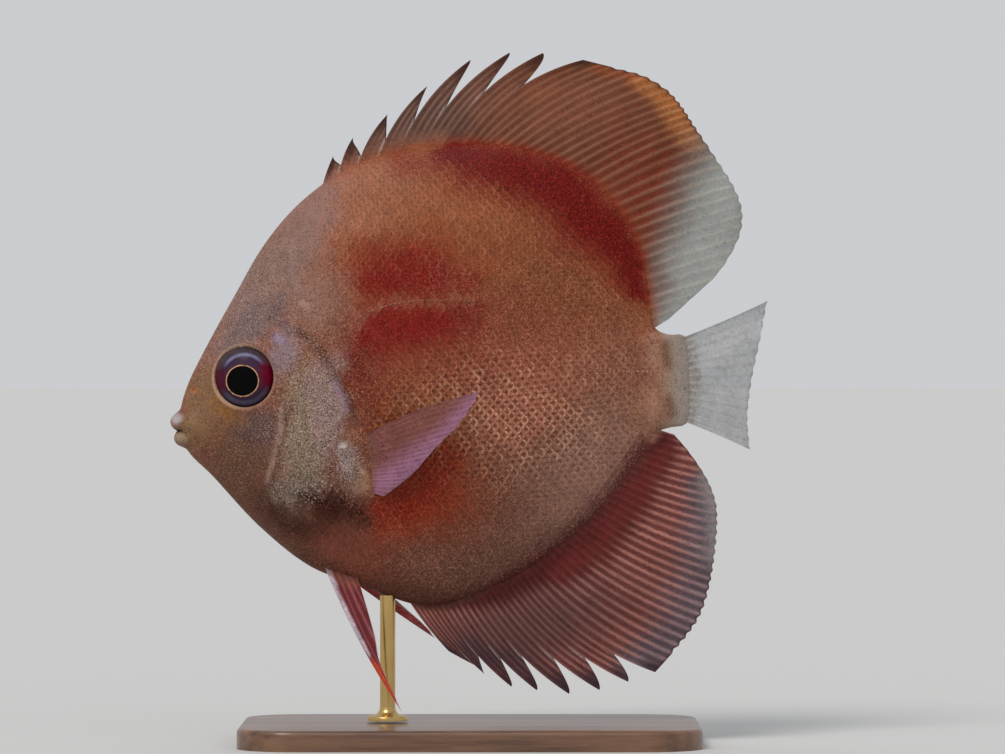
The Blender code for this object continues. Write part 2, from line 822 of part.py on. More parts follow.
def fish_body():
    """The body parted into head, trunk and tail stalk, with room for the gill covers, eyes and lips."""
    head_end = [(x - GAP / 2, z) for x, z in HEAD_END]
    trunk_start = [(x + GAP / 2, z) for x, z in reversed(HEAD_END)]
    trunk_end = [(STALK_FROM + STALK_LEAN * z - GAP / 2, z) for z in (FAR, -FAR)]
    stalk_start = [(STALK_FROM + STALK_LEAN * z + GAP / 2, z) for z in (-FAR, FAR)]
    regions = {
        "head": [(-FAR, -FAR), (-FAR, FAR)] + head_end,
        "trunk": trunk_start + trunk_end,
        "tail_stalk": stalk_start + [(FAR, FAR), (FAR, -FAR)],
    }
    nodes = {}
    for name, region in regions.items():
        nodes[name] = body_shape(name)
        combine(nodes[name], "INTERSECT", prism("region", region, -CUTTER_DEPTH, CUTTER_DEPTH))
    head = nodes["head"]
    combine(head, "UNION", eye_rim(-1), eye_rim(1))
    combine(head, "DIFFERENCE", gill_pocket(-1), gill_pocket(1))
    combine(nodes["trunk"], "DIFFERENCE", gill_pocket(-1), gill_pocket(1))
    combine(head, "DIFFERENCE", eye_shape("socket", -1, GAP), eye_shape("socket", 1, GAP))
    combine(head, "DIFFERENCE", nostril(-1), nostril(1))
    lips = (lip_shape("lip_space", UPPER_LIP, GAP), lip_shape("lip_space", LOWER_LIP, GAP))
    combine(head, "DIFFERENCE", mouth_space(), *lips)
    set_look(head, "head")
    for node in nodes.values():
        for vertex in node.data.vertices:
            vertex.co.y += sway(vertex.co.x / MM) * MM
    return nodes


def level_to_world():
    """Carries the level fish to its place over the base."""
    lowest = min(
        (Matrix.Rotation(-NOSE_DOWN, 4, "Y") @ point.to_3d()).z for point in level_points("pelvic_fin_left")
    )
    height = (BASE_SIZE[2] + FIN_CLEARANCE) * MM - lowest
    place = Matrix.Translation((SNOUT_BEHIND_CENTRE * MM, 0.0, height))
    return place @ Matrix.Rotation(-NOSE_DOWN, 4, "Y")


def level_points(name):
    return [vertex.co for vertex in bpy.data.objects[name].data.vertices]


def round_edges(bm, edges, radius, steps):
    bmesh.ops.bevel(
        bm, geom=edges, offset=radius * MM, offset_type="OFFSET", segments=steps, profile=0.5, affect="EDGES"
    )


def stand_base():
    """A flat board with round corners and a bevelled top edge."""
    bpy.ops.mesh.primitive_cube_add(size=1.0)
    board = bpy.context.object
    board.name = board.data.name = "stand_base"
    length, width, height = BASE_SIZE
    lift = Matrix.Translation((0.0, 0.0, height * MM / 2))
    board.data.transform(lift @ Matrix.Diagonal((length * MM, width * MM, height * MM, 1.0)))
    bm = bmesh.new()
    bm.from_mesh(board.data)
    upright = [e for e in bm.edges if abs(e.verts[0].co.z - e.verts[1].co.z) > height * MM / 2]
    round_edges(bm, upright, BASE_CORNER, BASE_CORNER_STEPS)
    top = [e for e in bm.edges if all(v.co.z > height * MM / 2 for v in e.verts)]
    round_edges(bm, top, BASE_BEVEL, BASE_BEVEL_STEPS)
    bm.to_mesh(board.data)
    bm.free()
    set_look(board, "walnut")
    move_to_parts(board)
    return board


def stand_rod(carry, to_world):
    """A turned rod with a small foot, its top hollowed to the keel that it holds."""
    samples = [body_edge(ANAL_FROM + 2 * k / EDGE_SAMPLES) for k in range(EDGE_SAMPLES)]
    keel = min(samples, key=lambda edge: abs(edge.x - ROD_AT_X))
    at = to_world @ (Vector((keel.x, 0.0, keel.y)) * MM)
    foot = (BASE_SIZE[2] + GAP) * MM
    top = at.z + ROD_TOP_ABOVE_EDGE * MM - foot
    radius, foot_radius, foot_height = ROD_RADIUS * MM, ROD_FOOT_RADIUS * MM, ROD_FOOT_HEIGHT * MM
    edge, fillet, fillet_height = (size * MM for size in (ROD_FOOT_EDGE, *ROD_FILLET))
    profile = (
        (0.0, top),
        (radius, top),
        (radius, foot_height + fillet_height),
        (radius + fillet, foot_height + edge),
        (foot_radius - edge, foot_height),
        (foot_radius, foot_height - edge),
        (foot_radius, 0.0),
        (0.0, 0.0),
    )
    mesh = bpy.data.meshes.new("stand_rod")
    edges = [(i, i + 1) for i in range(len(profile) - 1)]
    mesh.from_pydata([(x, 0.0, z) for x, z in profile], edges, [])
    rod = bpy.data.objects.new("stand_rod", mesh)
    rod.location = (at.x, 0.0, foot)
    fish_parts.objects.link(rod)
    screw = rod.modifiers.new("turn", "SCREW")
    screw.steps = screw.render_steps = ROD_SIDES
    screw.use_merge_vertices = True
    screw.merge_threshold = WELD
    bpy.context.view_layer.update()
    made = bpy.data.meshes.new_from_object(rod.evaluated_get(bpy.context.evaluated_depsgraph_get()))
    rod.modifiers.clear()
    rod.data = made
    keel_space = body_shape("keel_space", GAP)
    keel_space.parent = carry
    bpy.context.view_layer.update()
    combine(rod, "DIFFERENCE", keel_space)
    set_look(rod, "brass")
    return rod


def shade(made):
    made.data.shade_smooth()
    made.data.set_sharp_from_angle(angle=SHARP_ANGLE)


clear_scene()
fish_parts = bpy.data.collections.new("Discus fish")
bpy.context.scene.collection.children.link(fish_parts)

fish = list(fish_body().values())
fish += [gill_cover("gill_cover_left", -1), gill_cover("gill_cover_right", 1)]
fish += [eye_shape("eye_left", -1), eye_shape("eye_right", 1)]
fish += [lip_shape("upper_lip", UPPER_LIP), lip_shape("lower_lip", LOWER_LIP)]
fish += [dorsal_fin(), anal_fin(), tail_fin()]
for side_name, side in (("left", -1), ("right", 1)):
    name = f"pectoral_fin_{side_name}"
    pectoral = (PECTORAL_ROOT, PECTORAL_ROOT_Y, PECTORAL_RAYS, PECTORAL_RAY_COUNT, PECTORAL_FLARE)
    fish.append(paired_fin(name, side, *pectoral, "pectoral"))
left_pelvic = (LEFT_PELVIC_ROOT, PELVIC_ROOT_Y, LEFT_PELVIC_RAYS, PELVIC_RAY_COUNT, LEFT_PELVIC_FLARE)
right_pelvic = (RIGHT_PELVIC_ROOT, PELVIC_ROOT_Y, RIGHT_PELVIC_RAYS, PELVIC_RAY_COUNT, RIGHT_PELVIC_FLARE)
fish.append(paired_fin("pelvic_fin_left", -1, *left_pelvic, "fin"))
fish.append(paired_fin("pelvic_fin_right", 1, *right_pelvic, "fin"))

carrier = bpy.data.objects.new("fish_carrier", None)
fish_parts.objects.link(carrier)
carrier.matrix_world = level_to_world()
for piece in fish:
    piece.parent = carrier
bpy.context.view_layer.update()

stand = [stand_base(), stand_rod(carrier, carrier.matrix_world)]
for piece in fish + stand:
    shade(piece)
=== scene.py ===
"""The looks of a young discus fish model: skin, scales, eyes, fins, display stand, light and camera.

The fish is drawn in its own level frame, in millimetres: x runs from the snout to the tail, z is up and the
fish's left side is at -y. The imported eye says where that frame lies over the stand.
"""

import math
from functools import partial

import bmesh
import bpy
import numpy as np
from mathutils import Matrix, Vector
from mathutils.bvhtree import BVHTree


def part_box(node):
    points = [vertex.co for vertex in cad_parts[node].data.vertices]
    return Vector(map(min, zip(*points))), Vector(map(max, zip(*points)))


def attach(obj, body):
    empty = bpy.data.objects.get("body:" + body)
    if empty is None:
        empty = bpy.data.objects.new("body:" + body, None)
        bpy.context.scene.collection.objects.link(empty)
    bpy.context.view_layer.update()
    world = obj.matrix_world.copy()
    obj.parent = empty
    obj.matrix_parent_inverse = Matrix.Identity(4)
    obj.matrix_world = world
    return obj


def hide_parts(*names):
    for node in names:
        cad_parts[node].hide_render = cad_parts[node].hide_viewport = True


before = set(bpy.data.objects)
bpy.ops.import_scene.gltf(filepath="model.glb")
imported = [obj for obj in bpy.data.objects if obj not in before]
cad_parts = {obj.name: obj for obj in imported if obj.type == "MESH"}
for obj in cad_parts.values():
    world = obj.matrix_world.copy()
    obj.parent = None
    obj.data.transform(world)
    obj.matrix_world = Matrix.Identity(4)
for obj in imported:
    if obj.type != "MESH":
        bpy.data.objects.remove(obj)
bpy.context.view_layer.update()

MM = 0.001
GAP = 0.3
SIDES = (("left", -1), ("right", 1))

# The level frame, and the photograph's frame over it
NOSE_DOWN = math.radians(4.95)
EYE_AT = (11.7, 6.35)
PHOTO_SIZE = (1005, 754)
SNOUT_PIXEL = (175.0, 424.0)
MM_PER_PIXEL = 80.0 / 509.9

# Edge of the body, clockwise from the mouth as seen from the left: x, z and half the thickness there
BODY_EDGE = (
    (1.0, -0.6, 0.45), (1.3, 2.5, 0.35), (2.7, 6.1, 0.3), (6.1, 11.7, 0.3), (11.4, 19.6, 0.3),
    (16.0, 26.2, 0.3), (20.8, 31.3, 0.35), (25.7, 34.9, 0.5), (31.2, 37.9, 0.55), (40.2, 39.7, 0.55),
    (50.0, 39.9, 0.55), (57.6, 38.6, 0.55), (64.2, 35.6, 0.55), (69.3, 31.5, 0.55), (73.1, 25.9, 0.55),
    (75.1, 19.6, 0.55), (75.9, 13.0, 0.55), (76.2, 8.5, 0.55), (78.2, 7.3, 0.6), (80.6, 6.9, 0.7),
    (80.9, 0.0, 0.8), (79.8, -6.8, 0.7), (77.3, -7.2, 0.6), (75.3, -7.7, 0.55), (72.9, -10.7, 0.55),
    (67.2, -17.0, 0.55), (60.2, -23.1, 0.55), (51.9, -27.9, 0.55), (43.6, -30.9, 0.55), (37.9, -31.9, 0.55),
    (33.7, -30.8, 0.45), (27.4, -27.8, 0.35), (19.6, -24.2, 0.3), (12.2, -17.4, 0.3), (5.2, -8.5, 0.3),
    (1.8, -4.3, 0.4),
)
BODY_CENTRE = (40.5, 4.2)
DORSAL_FROM, DORSAL_TO = 7.0, 17.0
TAIL_FROM, TAIL_TO = 19.0, 21.0
ANAL_FROM, ANAL_TO = 30.0, 23.0
HEAD_POINTS = (32, 6)

# Half the thickness of the body along x, before it thins towards the edge
FULLNESS = (
    (0.0, 6.4), (8.0, 7.4), (18.0, 8.0), (30.0, 7.6), (42.0, 6.7), (56.0, 5.2), (70.0, 3.7), (82.0, 2.6),
)
THINNING = 2.2
ROUNDNESS = 0.62
COLUMN_WIDTH = 2.9
SMOOTHED_COLUMNS = 6
RIM_FROM = 0.55
EDGE_SAMPLES = 240
SKIN_COLUMN = 0.8
HEAD_COLUMN = 0.42
SKIN_ROWS = 80
ROW_CROWDING = 1.35

# The tail swings to the fish's right from here back, and the long fins follow it by a share
SWAY_FROM = 64.0
SWAY_TIP = 96.0
SWAY_AT_TIP = 9.5
FINS_FOLLOW = 0.5

# Gill cover, one lobe behind the cheek: its rear edge stands free, its front edge is only a soft ridge
GILL_COVER = (
    (18.9, 10.9), (21.6, 11.3), (24.0, 10.0), (25.9, 6.8), (27.2, 3.2), (28.1, -0.4), (27.3, -3.1),
    (25.4, -5.0), (21.4, -9.2), (18.4, -11.8), (15.6, -13.4), (13.9, -12.6), (14.2, -9.0), (15.4, -4.6),
    (17.0, 0.6), (18.0, 5.6),
)
GILL_STEPS = 4
GILL_REAR = slice(1 * GILL_STEPS, 11 * GILL_STEPS)
GILL_FREE = (-6.0, 1.0)
GILL_PLATE = 0.34
GILL_RIDGE = 0.07
GILL_GROOVE = 0.2
GILL_GROOVE_FROM = 15.0

# Rear end of the head, from the nape down: scales start behind it
HEAD_END = (
    (25.3, 46.0), (24.9, 30.0), (24.6, 18.0), (24.0, 12.5), (22.6, 8.5), (23.4, 3.0), (23.6, -1.5),
    (21.2, -6.5), (18.4, -10.4), (16.2, -15.5), (12.6, -30.0),
)

EYE_RADIUS = 4.75
EYE_DEPTH = 2.3
EYE_TURN = math.radians(13.0)
PUPIL_OFF = (-0.36, -0.53)
PUPIL_RADII = (2.52, 2.34)
EYE_RINGS = 40
EYE_SEGMENTS = 72
SOCKET_RADIUS = 4.6
SOCKET_DEPTH = 2.7
EYE_RIM = 4.62
EYE_RIM_SNAP = 0.24
NOSTRIL_AT = (3.5, 5.0)

# Lips: height of the middle, reach forward of the corners, half the gape and half the thickness
LIP_CORNER_X = 3.1
UPPER_LIP = (0.3, 2.6, 1.5, 1.2)
LOWER_LIP = (-2.3, 2.35, 1.4, 1.1)
LIP_SWEEP = math.radians(76.0)
LIP_TAPER = 0.45
LIP_INNER_SHARE = 0.35
LIP_STATIONS = 49
LIP_SIDES = 20

# Spines, front to back: x and z of the tip, bend in degrees, share of the length where the skin ahead ends
DORSAL_SPINES = (
    (28.4, 39.8, 14.0, 0.5), (31.8, 42.5, 28.0, 0.3), (37.5, 45.6, 30.0, 0.2), (44.0, 49.4, 33.0, 0.26),
    (51.1, 52.9, 36.0, 0.32), (57.3, 53.5, 36.0, 0.38), (62.5, 53.0, 37.0, 0.5), (68.7, 51.4, 44.0, 0.58),
)
ANAL_SPINES = (
    (39.7, -39.2, 12.0, 0.6), (45.0, -43.3, 18.0, 0.86), (49.0, -45.6, 24.0, 0.6),
    (52.9, -46.5, 25.0, 0.61), (57.9, -47.5, 28.0, 0.57), (62.7, -47.3, 28.0, 0.64),
    (67.3, -46.4, 32.0, 0.7), (71.7, -45.3, 36.0, 0.74),
)
SPINES_SHARE_OF_DORSAL = 0.385
SPINES_SHARE_OF_ANAL = 0.44
LAST_NOTCH = 1.0

# Soft rays, at shares of their stretch of root: x and z of the tip, and bend in degrees
DORSAL_SOFT = (
    (0.0, 73.1, 49.9, 26.0), (0.1, 78.2, 48.0, 20.0), (0.2, 82.2, 44.8, 17.0), (0.41, 85.8, 38.7, 14.0),
    (0.52, 88.6, 33.7, 12.0), (0.61, 90.7, 29.6, 10.0), (0.7, 91.7, 25.6, 8.0), (0.79, 90.7, 21.3, 6.0),
    (0.88, 87.0, 16.2, 4.0), (0.94, 82.6, 12.7, 2.0), (1.0, 78.6, 9.7, 0.0),
)
ANAL_SOFT = (
    (0.0, 74.6, -42.6, 24.0), (0.1, 77.4, -39.8, 22.0), (0.2, 79.6, -36.9, 20.0), (0.31, 81.2, -33.2, 18.0),
    (0.45, 82.5, -28.4, 15.0), (0.58, 83.4, -23.6, 12.0), (0.68, 83.6, -20.1, 10.0),
    (0.77, 82.9, -16.9, 8.0), (0.85, 81.6, -14.0, 6.0), (0.92, 79.8, -11.0, 3.0), (1.0, 77.9, -8.4, 0.0),
)
TAIL_RAYS = (
    (0.0, 94.7, 11.3, -5.0), (0.25, 92.9, 5.0, -3.0), (0.5, 91.1, -0.9, 0.0), (0.75, 89.9, -6.5, 3.0),
    (1.0, 89.8, -11.9, 5.0),
)
PECTORAL_RAYS = (
    (0.0, 48.1, 0.9, 21.0), (0.12, 47.2, -0.6, 16.0), (0.3, 44.2, -4.1, 4.0), (0.5, 40.5, -7.2, -8.0),
    (0.7, 37.2, -10.4, -12.0), (0.85, 34.9, -12.1, -14.0), (1.0, 31.9, -14.0, -10.0),
)
LEFT_PELVIC_RAYS = (
    (0.0, 31.7, -47.8, -12.0), (0.25, 30.5, -44.4, -12.0), (0.45, 29.0, -40.2, -8.0),
    (0.65, 28.4, -35.4, -4.0), (0.85, 27.5, -30.9, 0.0), (1.0, 26.9, -28.2, 0.0),
)
RIGHT_PELVIC_RAYS = (
    (0.0, 37.7, -37.3, -4.0), (0.3, 36.4, -35.3, 0.0), (0.6, 33.4, -32.0, 0.0), (1.0, 31.2, -29.6, 0.0),
)
DORSAL_SOFT_COUNT = 29
ANAL_SOFT_COUNT = 26
TAIL_RAY_COUNT = 14
PECTORAL_RAY_COUNT = 10
PELVIC_RAY_COUNT = 6
COLUMNS_PER_RAY = 6
COLUMNS_PER_SPINE = 14
FIN_ROWS = 26
DORSAL_FULLNESS = (0.75, 0.7, 0.85, 1.0, 1.2, 1.3, 1.3, 0.5)
ANAL_FULLNESS = (1.2, 0.9, 1.3, 1.3, 1.3, 1.3, 1.3, 0.5)

# Paired fins: ends of the root, its distance from the middle plane, then reach outwards and turning length
LEFT_PELVIC_ROOT = ((21.4, -24.0), (26.5, -26.6))
RIGHT_PELVIC_ROOT = ((23.8, -25.4), (28.2, -27.6))
PELVIC_ROOT_Y = 1.1
LEFT_PELVIC_FLARE = (9.0, 40.0)
RIGHT_PELVIC_FLARE = (8.0, 20.0)
PECTORAL_ROOT = ((27.9, -5.2), (29.2, -12.8))
PECTORAL_ROOT_Y = 5.6
PECTORAL_FLARE = (5.2, 8.0)

# Half the thickness of fins: ray at the root, ray at the margin, skin at the root and at the margin
MEDIAN_FIN_HALF = (0.46, 0.18, 0.32, 0.09)
PAIRED_FIN_HALF = (0.38, 0.13, 0.3, 0.08)
RAY_WIDTH = 0.17
ROOT_SUNK = 0.9
ROOT_FILLET = (0.4, 1.8)
MARGIN_TAPER = 7.0
MEDIAN_MARGIN = 0.25
PAIRED_MARGIN = 0.3
MEDIAN_SCALLOP = 0.012
TAIL_SCALLOP = 0.015
PAIRED_SCALLOP = 0.014
FIN_WAVES = 0.25
TAIL_WAVES = 0.2
FIN_MERGE = 0.000002

# Scales: spacing along a row, distance between rows, reach ahead and behind, half the height, and lift
SCALE_STEP = 1.33
SCALE_ROW = 0.8
SCALE_AHEAD = 0.8
SCALE_BEHIND = 0.95
SCALE_HALF = 0.84
SCALE_LIFT = 0.05
SCALE_ROOT_SINK = 0.07
SCALE_UNDERSIDE = 0.16
SCALE_SIDES = 10
SCALE_ROWS = (-46, 48)
SCALES_PER_ROW = 60
SCALES_FROM = 10.0
SCALES_END = 76.1
SCALE_MAP_SIZE = 0.003

# Distance that scales keep from the head, the body's edge, the gill cover and the pectoral fin's fleshy base
CLEAR_OF_HEAD = 1.0
CLEAR_OF_EDGE = 0.9
CLEAR_OF_GILL = 0.7
CLEAR_OF_BASE = 2.2
FLESHY_BASE = ((25.6, -5.2), (28.0, -9.0), (28.4, -11.6))

# Pores of the lateral line: the photograph's pixels that they follow, spacing, rise, bead and unevenness
LATERAL_LINE = (
    ((346, 327), (368, 313), (392, 305), (422, 301), (448, 301), (474, 302)),
    ((590, 371), (624, 371), (652, 372)),
)
PORE_STEP = 0.72
PORE_RISE = 0.05
PORE_BEAD = (0.34, 0.09, 0.17)
PORE_UNEVENNESS = 0.25
CAST_FROM = 30.0

# Swelling of the muzzle, and the fillet that joins the lips to the skin
MUZZLE_AT = (2.4, -0.9)
MUZZLE_RISE = 1.15
MOUTH_MIDDLE = (1.5, 0.0, -1.0)
MOUTH_NEAR = 5.5
LIP_FILLET = 1.65
LIP_FREE = 1.2

# Folds and waves of the flesh
JAW_FOLD = ((2.4, -1.2), (3.3, -2.3), (3.8, -3.2))
CHEEK_FOLD = ((7.0, -1.5), (10.0, -4.5), (12.0, -9.0), (12.6, -13.0))
PECTORAL_HOLLOW = ((22.5, -11.5), (25.5, -13.5))
FLESH_WAVES = 0.05
RIM_TURNS = (45.0, 90.0, 135.0)
RIM_BULGE = 0.35
FLAT_RIM = 0.96

# The skin's unwrap: the length that fills a side, its size on the map and its bulge
UNWRAP_LENGTH = 84.0
UNWRAP_SIZE = (0.56, 1.12)
UNWRAP_BULGE = 0.05

# Stand: corner and bevel of the board, then the rod's foot, inwards and up, and its radius and height above
BASE_CORNER = 9.0
BASE_BEVEL = 0.7
ROD_SIDES = 48
ROD_SHORT = 0.3
ROD_FOOT = ((0.0, 0.45), (0.1, 0.68), (0.3, 0.8))
ROD_NECK = ((1.9, 0.95), (1.5, 1.25), (1.27, 1.7), (1.2, 2.3))
ROD_MERGE = 0.000001

# Light, floor and camera
ROOM_COLOUR = (0.9, 0.92, 0.95, 1.0)
ROOM_LIGHT = 0.66
KEY_LIGHT = 1.5
KEY_WIDTH = 24.0
KEY_COLOUR = (1.0, 0.97, 0.93)
KEY_FROM = (-0.35, -0.6, 0.8)
FLOOR_SIZE = 60.0
FLOOR_LOOK = (("Base Color", (0.62, 0.62, 0.61, 1.0)), ("Roughness", 0.8), ("Specular IOR Level", 0.2))
CAMERA_DISTANCE = 0.9
SENSOR_WIDTH = 36.0

# Millimetres of fin that one unit of the map "Reach" stands for
REACH_UNIT = 50.0

# Colours of the looks, as 8-bit values
COLOURS = {
    "rim of the eye": (198, 162, 136),
    "painted shade in the eye socket": (30, 20, 26),
    "nostril": (176, 112, 72),
    "free edge of a scale": (222, 168, 138),
    "middle of a scale": (56, 12, 8),
    "iris at the pupil": (66, 48, 66),
    "iris at the rim": (38, 26, 42),
    "iris behind": (104, 8, 36),
    "iris in front": (92, 24, 40),
    "lid": (84, 72, 76),
    "painted reflection on top of the iris": (128, 124, 156),
    "painted reflection below the iris": (96, 90, 112),
    "ring of the pupil": (226, 168, 120),
    "pupil": (6, 6, 9),
    "pale lappet": (190, 164, 152),
    "dorsal margin": (62, 38, 34),
    "anal margin": (58, 44, 50),
    "tail margin": (150, 150, 154),
    "pectoral margin": (158, 118, 142),
    "pelvic margin": (200, 180, 196),
    "dark walnut": (80, 53, 38),
    "light walnut": (124, 88, 64),
    "dark brass": (190, 152, 92),
    "light brass": (214, 182, 120),
    "front pore": (156, 98, 80),
    "middle pore": (140, 84, 60),
    "rear pore": (164, 120, 98),
}

# Wandering of painted borders: how far, how long the waves are, and the seeds across and down
WANDERING = ((7.0, 42.0, 1, 3), (4.0, 11.0, 2, 4), (3.0, 4.0, 5, 6))
CLOUD_GRID = 64

# Paint of the body: skin, pale flecks, and how strongly speckle, scale spots and silver show
BODY_PAINT = (
    ("Skin", 1.0, (140, 78, 50), (
        # Darker, duller wash towards the belly: partly the belly's own colour, partly painted shade under the
        # light from above
        ((112, 76, 64), (260.0, 540.0)),
        ((160, 104, 82), (352, 212), (62, 42), 25.0, 0.7, 0.9),
        ((150, 86, 56), (455, 215), (100, 34), -5.0, 0.7, 0.8),
        ((124, 68, 40), (556, 290), (80, 48), -50.0, 0.7, 0.8),
        ((122, 60, 38), (500, 325), (80, 34), 0.0, 0.7, 0.8),
        ((150, 86, 67), (498, 395), (104, 58), 10.0, 0.7, 0.88),
        ((130, 82, 64), (612, 400), (46, 62), 0.0, 0.6, 0.8),
        ((114, 76, 62), (540, 492), (115, 42), 38.0, 0.7, 0.8),
        ((146, 106, 91), (600, 468), (66, 42), 50.0, 0.8, 0.9),
        ((104, 68, 56), (455, 560), (70, 26), 8.0, 0.7, 0.8),
        ((100, 66, 62), ((470, 592, 14), (540, 562, 18), (600, 508, 16), (648, 452, 9)), 0.7, 0.7),
        ((84, 34, 35), ((440, 606, 7), (483, 594, 11), (529, 572, 14), (575, 539, 13), (612, 504, 11),
            (650, 448, 8)), 0.9, 0.85),
        # Dark band along the belly: partly its own colour, partly painted shade under the light from above
        ((92, 58, 50), ((322, 552, 12), (390, 590, 20), (470, 602, 14)), 0.7, 0.9),
        ((122, 66, 52), (348, 545), (52, 22), -22.0, 0.7, 0.95),
        ((128, 54, 34), ((400, 160, 12), (470, 168, 24), (540, 190, 36), (598, 232, 36), (638, 288, 12)),
            0.8, 0.9),
        ((106, 8, 5), ((440, 154, 10), (480, 162, 20), (520, 174, 27), (560, 196, 29), (600, 226, 26),
            (626, 254, 18), (640, 288, 9)), 0.75),
        ((148, 78, 44), (352, 274), (26, 26), 0.0, 0.7, 0.8),
        ((136, 60, 34), (405, 270), (78, 34), 8.0, 0.6, 0.85),
        ((124, 36, 22), ((362, 278, 14), (388, 274, 24), (425, 274, 22), (466, 284, 13)), 0.85, 0.9),
        ((122, 16, 10), ((370, 286, 10), (400, 280, 15), (430, 282, 12)), 0.9, 0.9),
        ((132, 58, 40), (424, 350), (85, 46), 0.0, 0.6, 0.8),
        ((120, 38, 26), ((352, 352, 14), (374, 334, 26), (404, 324, 26), (440, 322, 20), (474, 316, 10)),
            0.8),
        ((126, 20, 15), ((366, 342, 10), (384, 328, 16), (412, 322, 16), (440, 320, 10)), 0.8, 0.9),
        ((110, 38, 25), ((360, 366, 16), (380, 405, 26), (402, 440, 24)), 0.9, 0.85),
        ((150, 88, 68), ((346, 327, 3), (368, 313, 3.5), (392, 305, 3.5), (430, 301, 3), (480, 302, 2)),
            0.9, 0.6),
        ((120, 54, 34), (432, 486), (66, 52), 0.0, 0.6, 0.8),
        ((134, 46, 26), ((386, 514, 24), (424, 486, 28), (450, 452, 14)), 0.8, 0.95),
        ((122, 24, 12), ((392, 506, 14), (420, 488, 16), (440, 462, 9)), 0.8, 0.8),
        ((156, 90, 58), (643, 332), (10, 14), 0.0, 0.8, 0.45),
        ((150, 104, 82), ((646, 350, 10), (648, 385, 11), (644, 425, 10)), 0.9, 0.8),
        ((148, 108, 98), (306, 222), (56, 24), 62.0, 0.6),
        ((134, 104, 96), (262, 285), (92, 32), 56.0, 0.6),
        ((140, 104, 92), (312, 300), (34, 34), 0.0, 0.7, 0.8),
        ((112, 92, 92), (246, 330), (34, 13), 28.0, 0.7, 0.8),
        ((140, 114, 120), (287, 352), (15, 20), 0.0, 0.7),
        ((128, 94, 70), (203, 398), (24, 30), 50.0, 0.6),
        ((132, 102, 74), (190, 430), (16, 14), 0.0, 0.6, 0.9),
        ((140, 92, 50), (229, 412), (20, 10), -30.0, 0.7, 0.9),
        ((90, 71, 70), (255, 430), (26, 24), 0.0, 0.6, 0.9),
        ((96, 70, 55), (248, 470), (40, 26), -42.0, 0.6, 0.9),
        ((122, 78, 66), (264, 482), (16, 7), -10.0, 0.7, 0.7),
        # Dark patch in the hollow behind the gill cover's lower edge: painted shade
        ((66, 38, 29), (296, 524), (50, 20), -40.0, 0.8, 0.95),
        ((134, 74, 60), (338, 552), (30, 13), -20.0, 0.8, 0.85),
        ((132, 111, 92), (303, 430), (20, 66), -6.0, 0.5),
        ((142, 113, 108), (326, 404), (18, 52), -12.0, 0.5),
        ((114, 94, 84), (298, 484), (24, 14), 20.0, 0.6, 0.9),
        # Darkest stroke along the same hollow: painted shade
        ((54, 20, 12), ((308, 492, 8), (334, 506, 18), (358, 510, 14)), 0.8),
        ((126, 98, 90), ((343, 444, 8), (352, 462, 14), (363, 484, 10)), 0.8, 0.9),
        ((148, 110, 84), (367, 478), (7, 14), -15.0, 0.8, 0.8),
        ((174, 132, 112), ((654, 336, 5), (653, 376, 6), (655, 422, 6)), 0.9, 0.5),
    )),
    ("Fleck", 1.0, (190, 130, 102), (
        ((176, 106, 68), (440, 210), (130, 50), 0.0, 0.7),
        ((196, 134, 106), (510, 395), (105, 55), 0.0, 0.7),
        ((190, 128, 66), (410, 430), (50, 60), 0.0, 0.7, 0.9),
        ((168, 132, 112), (540, 500), (120, 50), 38.0, 0.7),
        ((146, 52, 34), ((452, 156, 14), (520, 176, 30), (596, 230, 34), (641, 292, 14))),
        ((166, 84, 54), (405, 272), (70, 30), 8.0),
        ((190, 130, 108), (448, 276), (24, 18), 30.0, 0.8, 0.9),
        ((160, 76, 54), (410, 332), (70, 34), 5.0),
        ((164, 92, 52), (425, 490), (50, 50), 0.0),
        ((180, 154, 140), (250, 330), (80, 110), 40.0, 0.5),
        ((198, 176, 158), (312, 420), (34, 74), -8.0, 0.5),
        ((160, 120, 74), (215, 410), (34, 34), 0.0, 0.6),
        # Darker flecks in the same hollow, to go with its painted shade
        ((112, 68, 50), (318, 518), (60, 26), -25.0, 0.7, 0.95),
        ((200, 182, 166), (296, 486), (28, 16), 20.0, 0.6, 0.95),
        ((206, 188, 180), (350, 464), (18, 26), -15.0, 0.6, 0.95),
        # Duller flecks along the belly, to go with its partly painted shade
        ((132, 92, 74), ((262, 500, 16), (300, 540, 18), (350, 572, 16), (450, 600, 12)), 0.8, 0.8),
    )),
    ("Marks", 1.0, (0.6, 0.3, 0.0), (
        ((0.5, 0.45, 1.0), (450, 220), (150, 62), 0.0, 0.6),
        ((0.6, 1.0, 0.0), (500, 412), (112, 62), -8.0, 0.6),
        ((0.55, 0.6, 0.2), (590, 350), (50, 60), 0.0, 0.6, 0.6),
        ((0.5, 0.2, 0.3), (400, 330), (50, 60), 0.0, 0.6, 0.7),
        ((0.65, 0.0, 0.2), (250, 360), (80, 110), 40.0, 0.5),
        ((0.9, 0.0, 0.8), (312, 420), (32, 72), -8.0, 0.5),
        # Weaker grains and scale spots under the hollow's painted shade
        ((0.45, 0.1, 0.1), (318, 518), (60, 26), -25.0, 0.7, 0.9),
        ((0.9, 0.0, 0.8), (296, 486), (28, 16), 20.0, 0.6, 0.9),
        ((0.85, 0.0, 0.5), (350, 464), (18, 26), -15.0, 0.6, 0.9),
        ((0.95, 0.15, 0.4), ((452, 152, 8), (520, 172, 24), (596, 226, 27), (641, 292, 14)), 0.6),
    )),
)
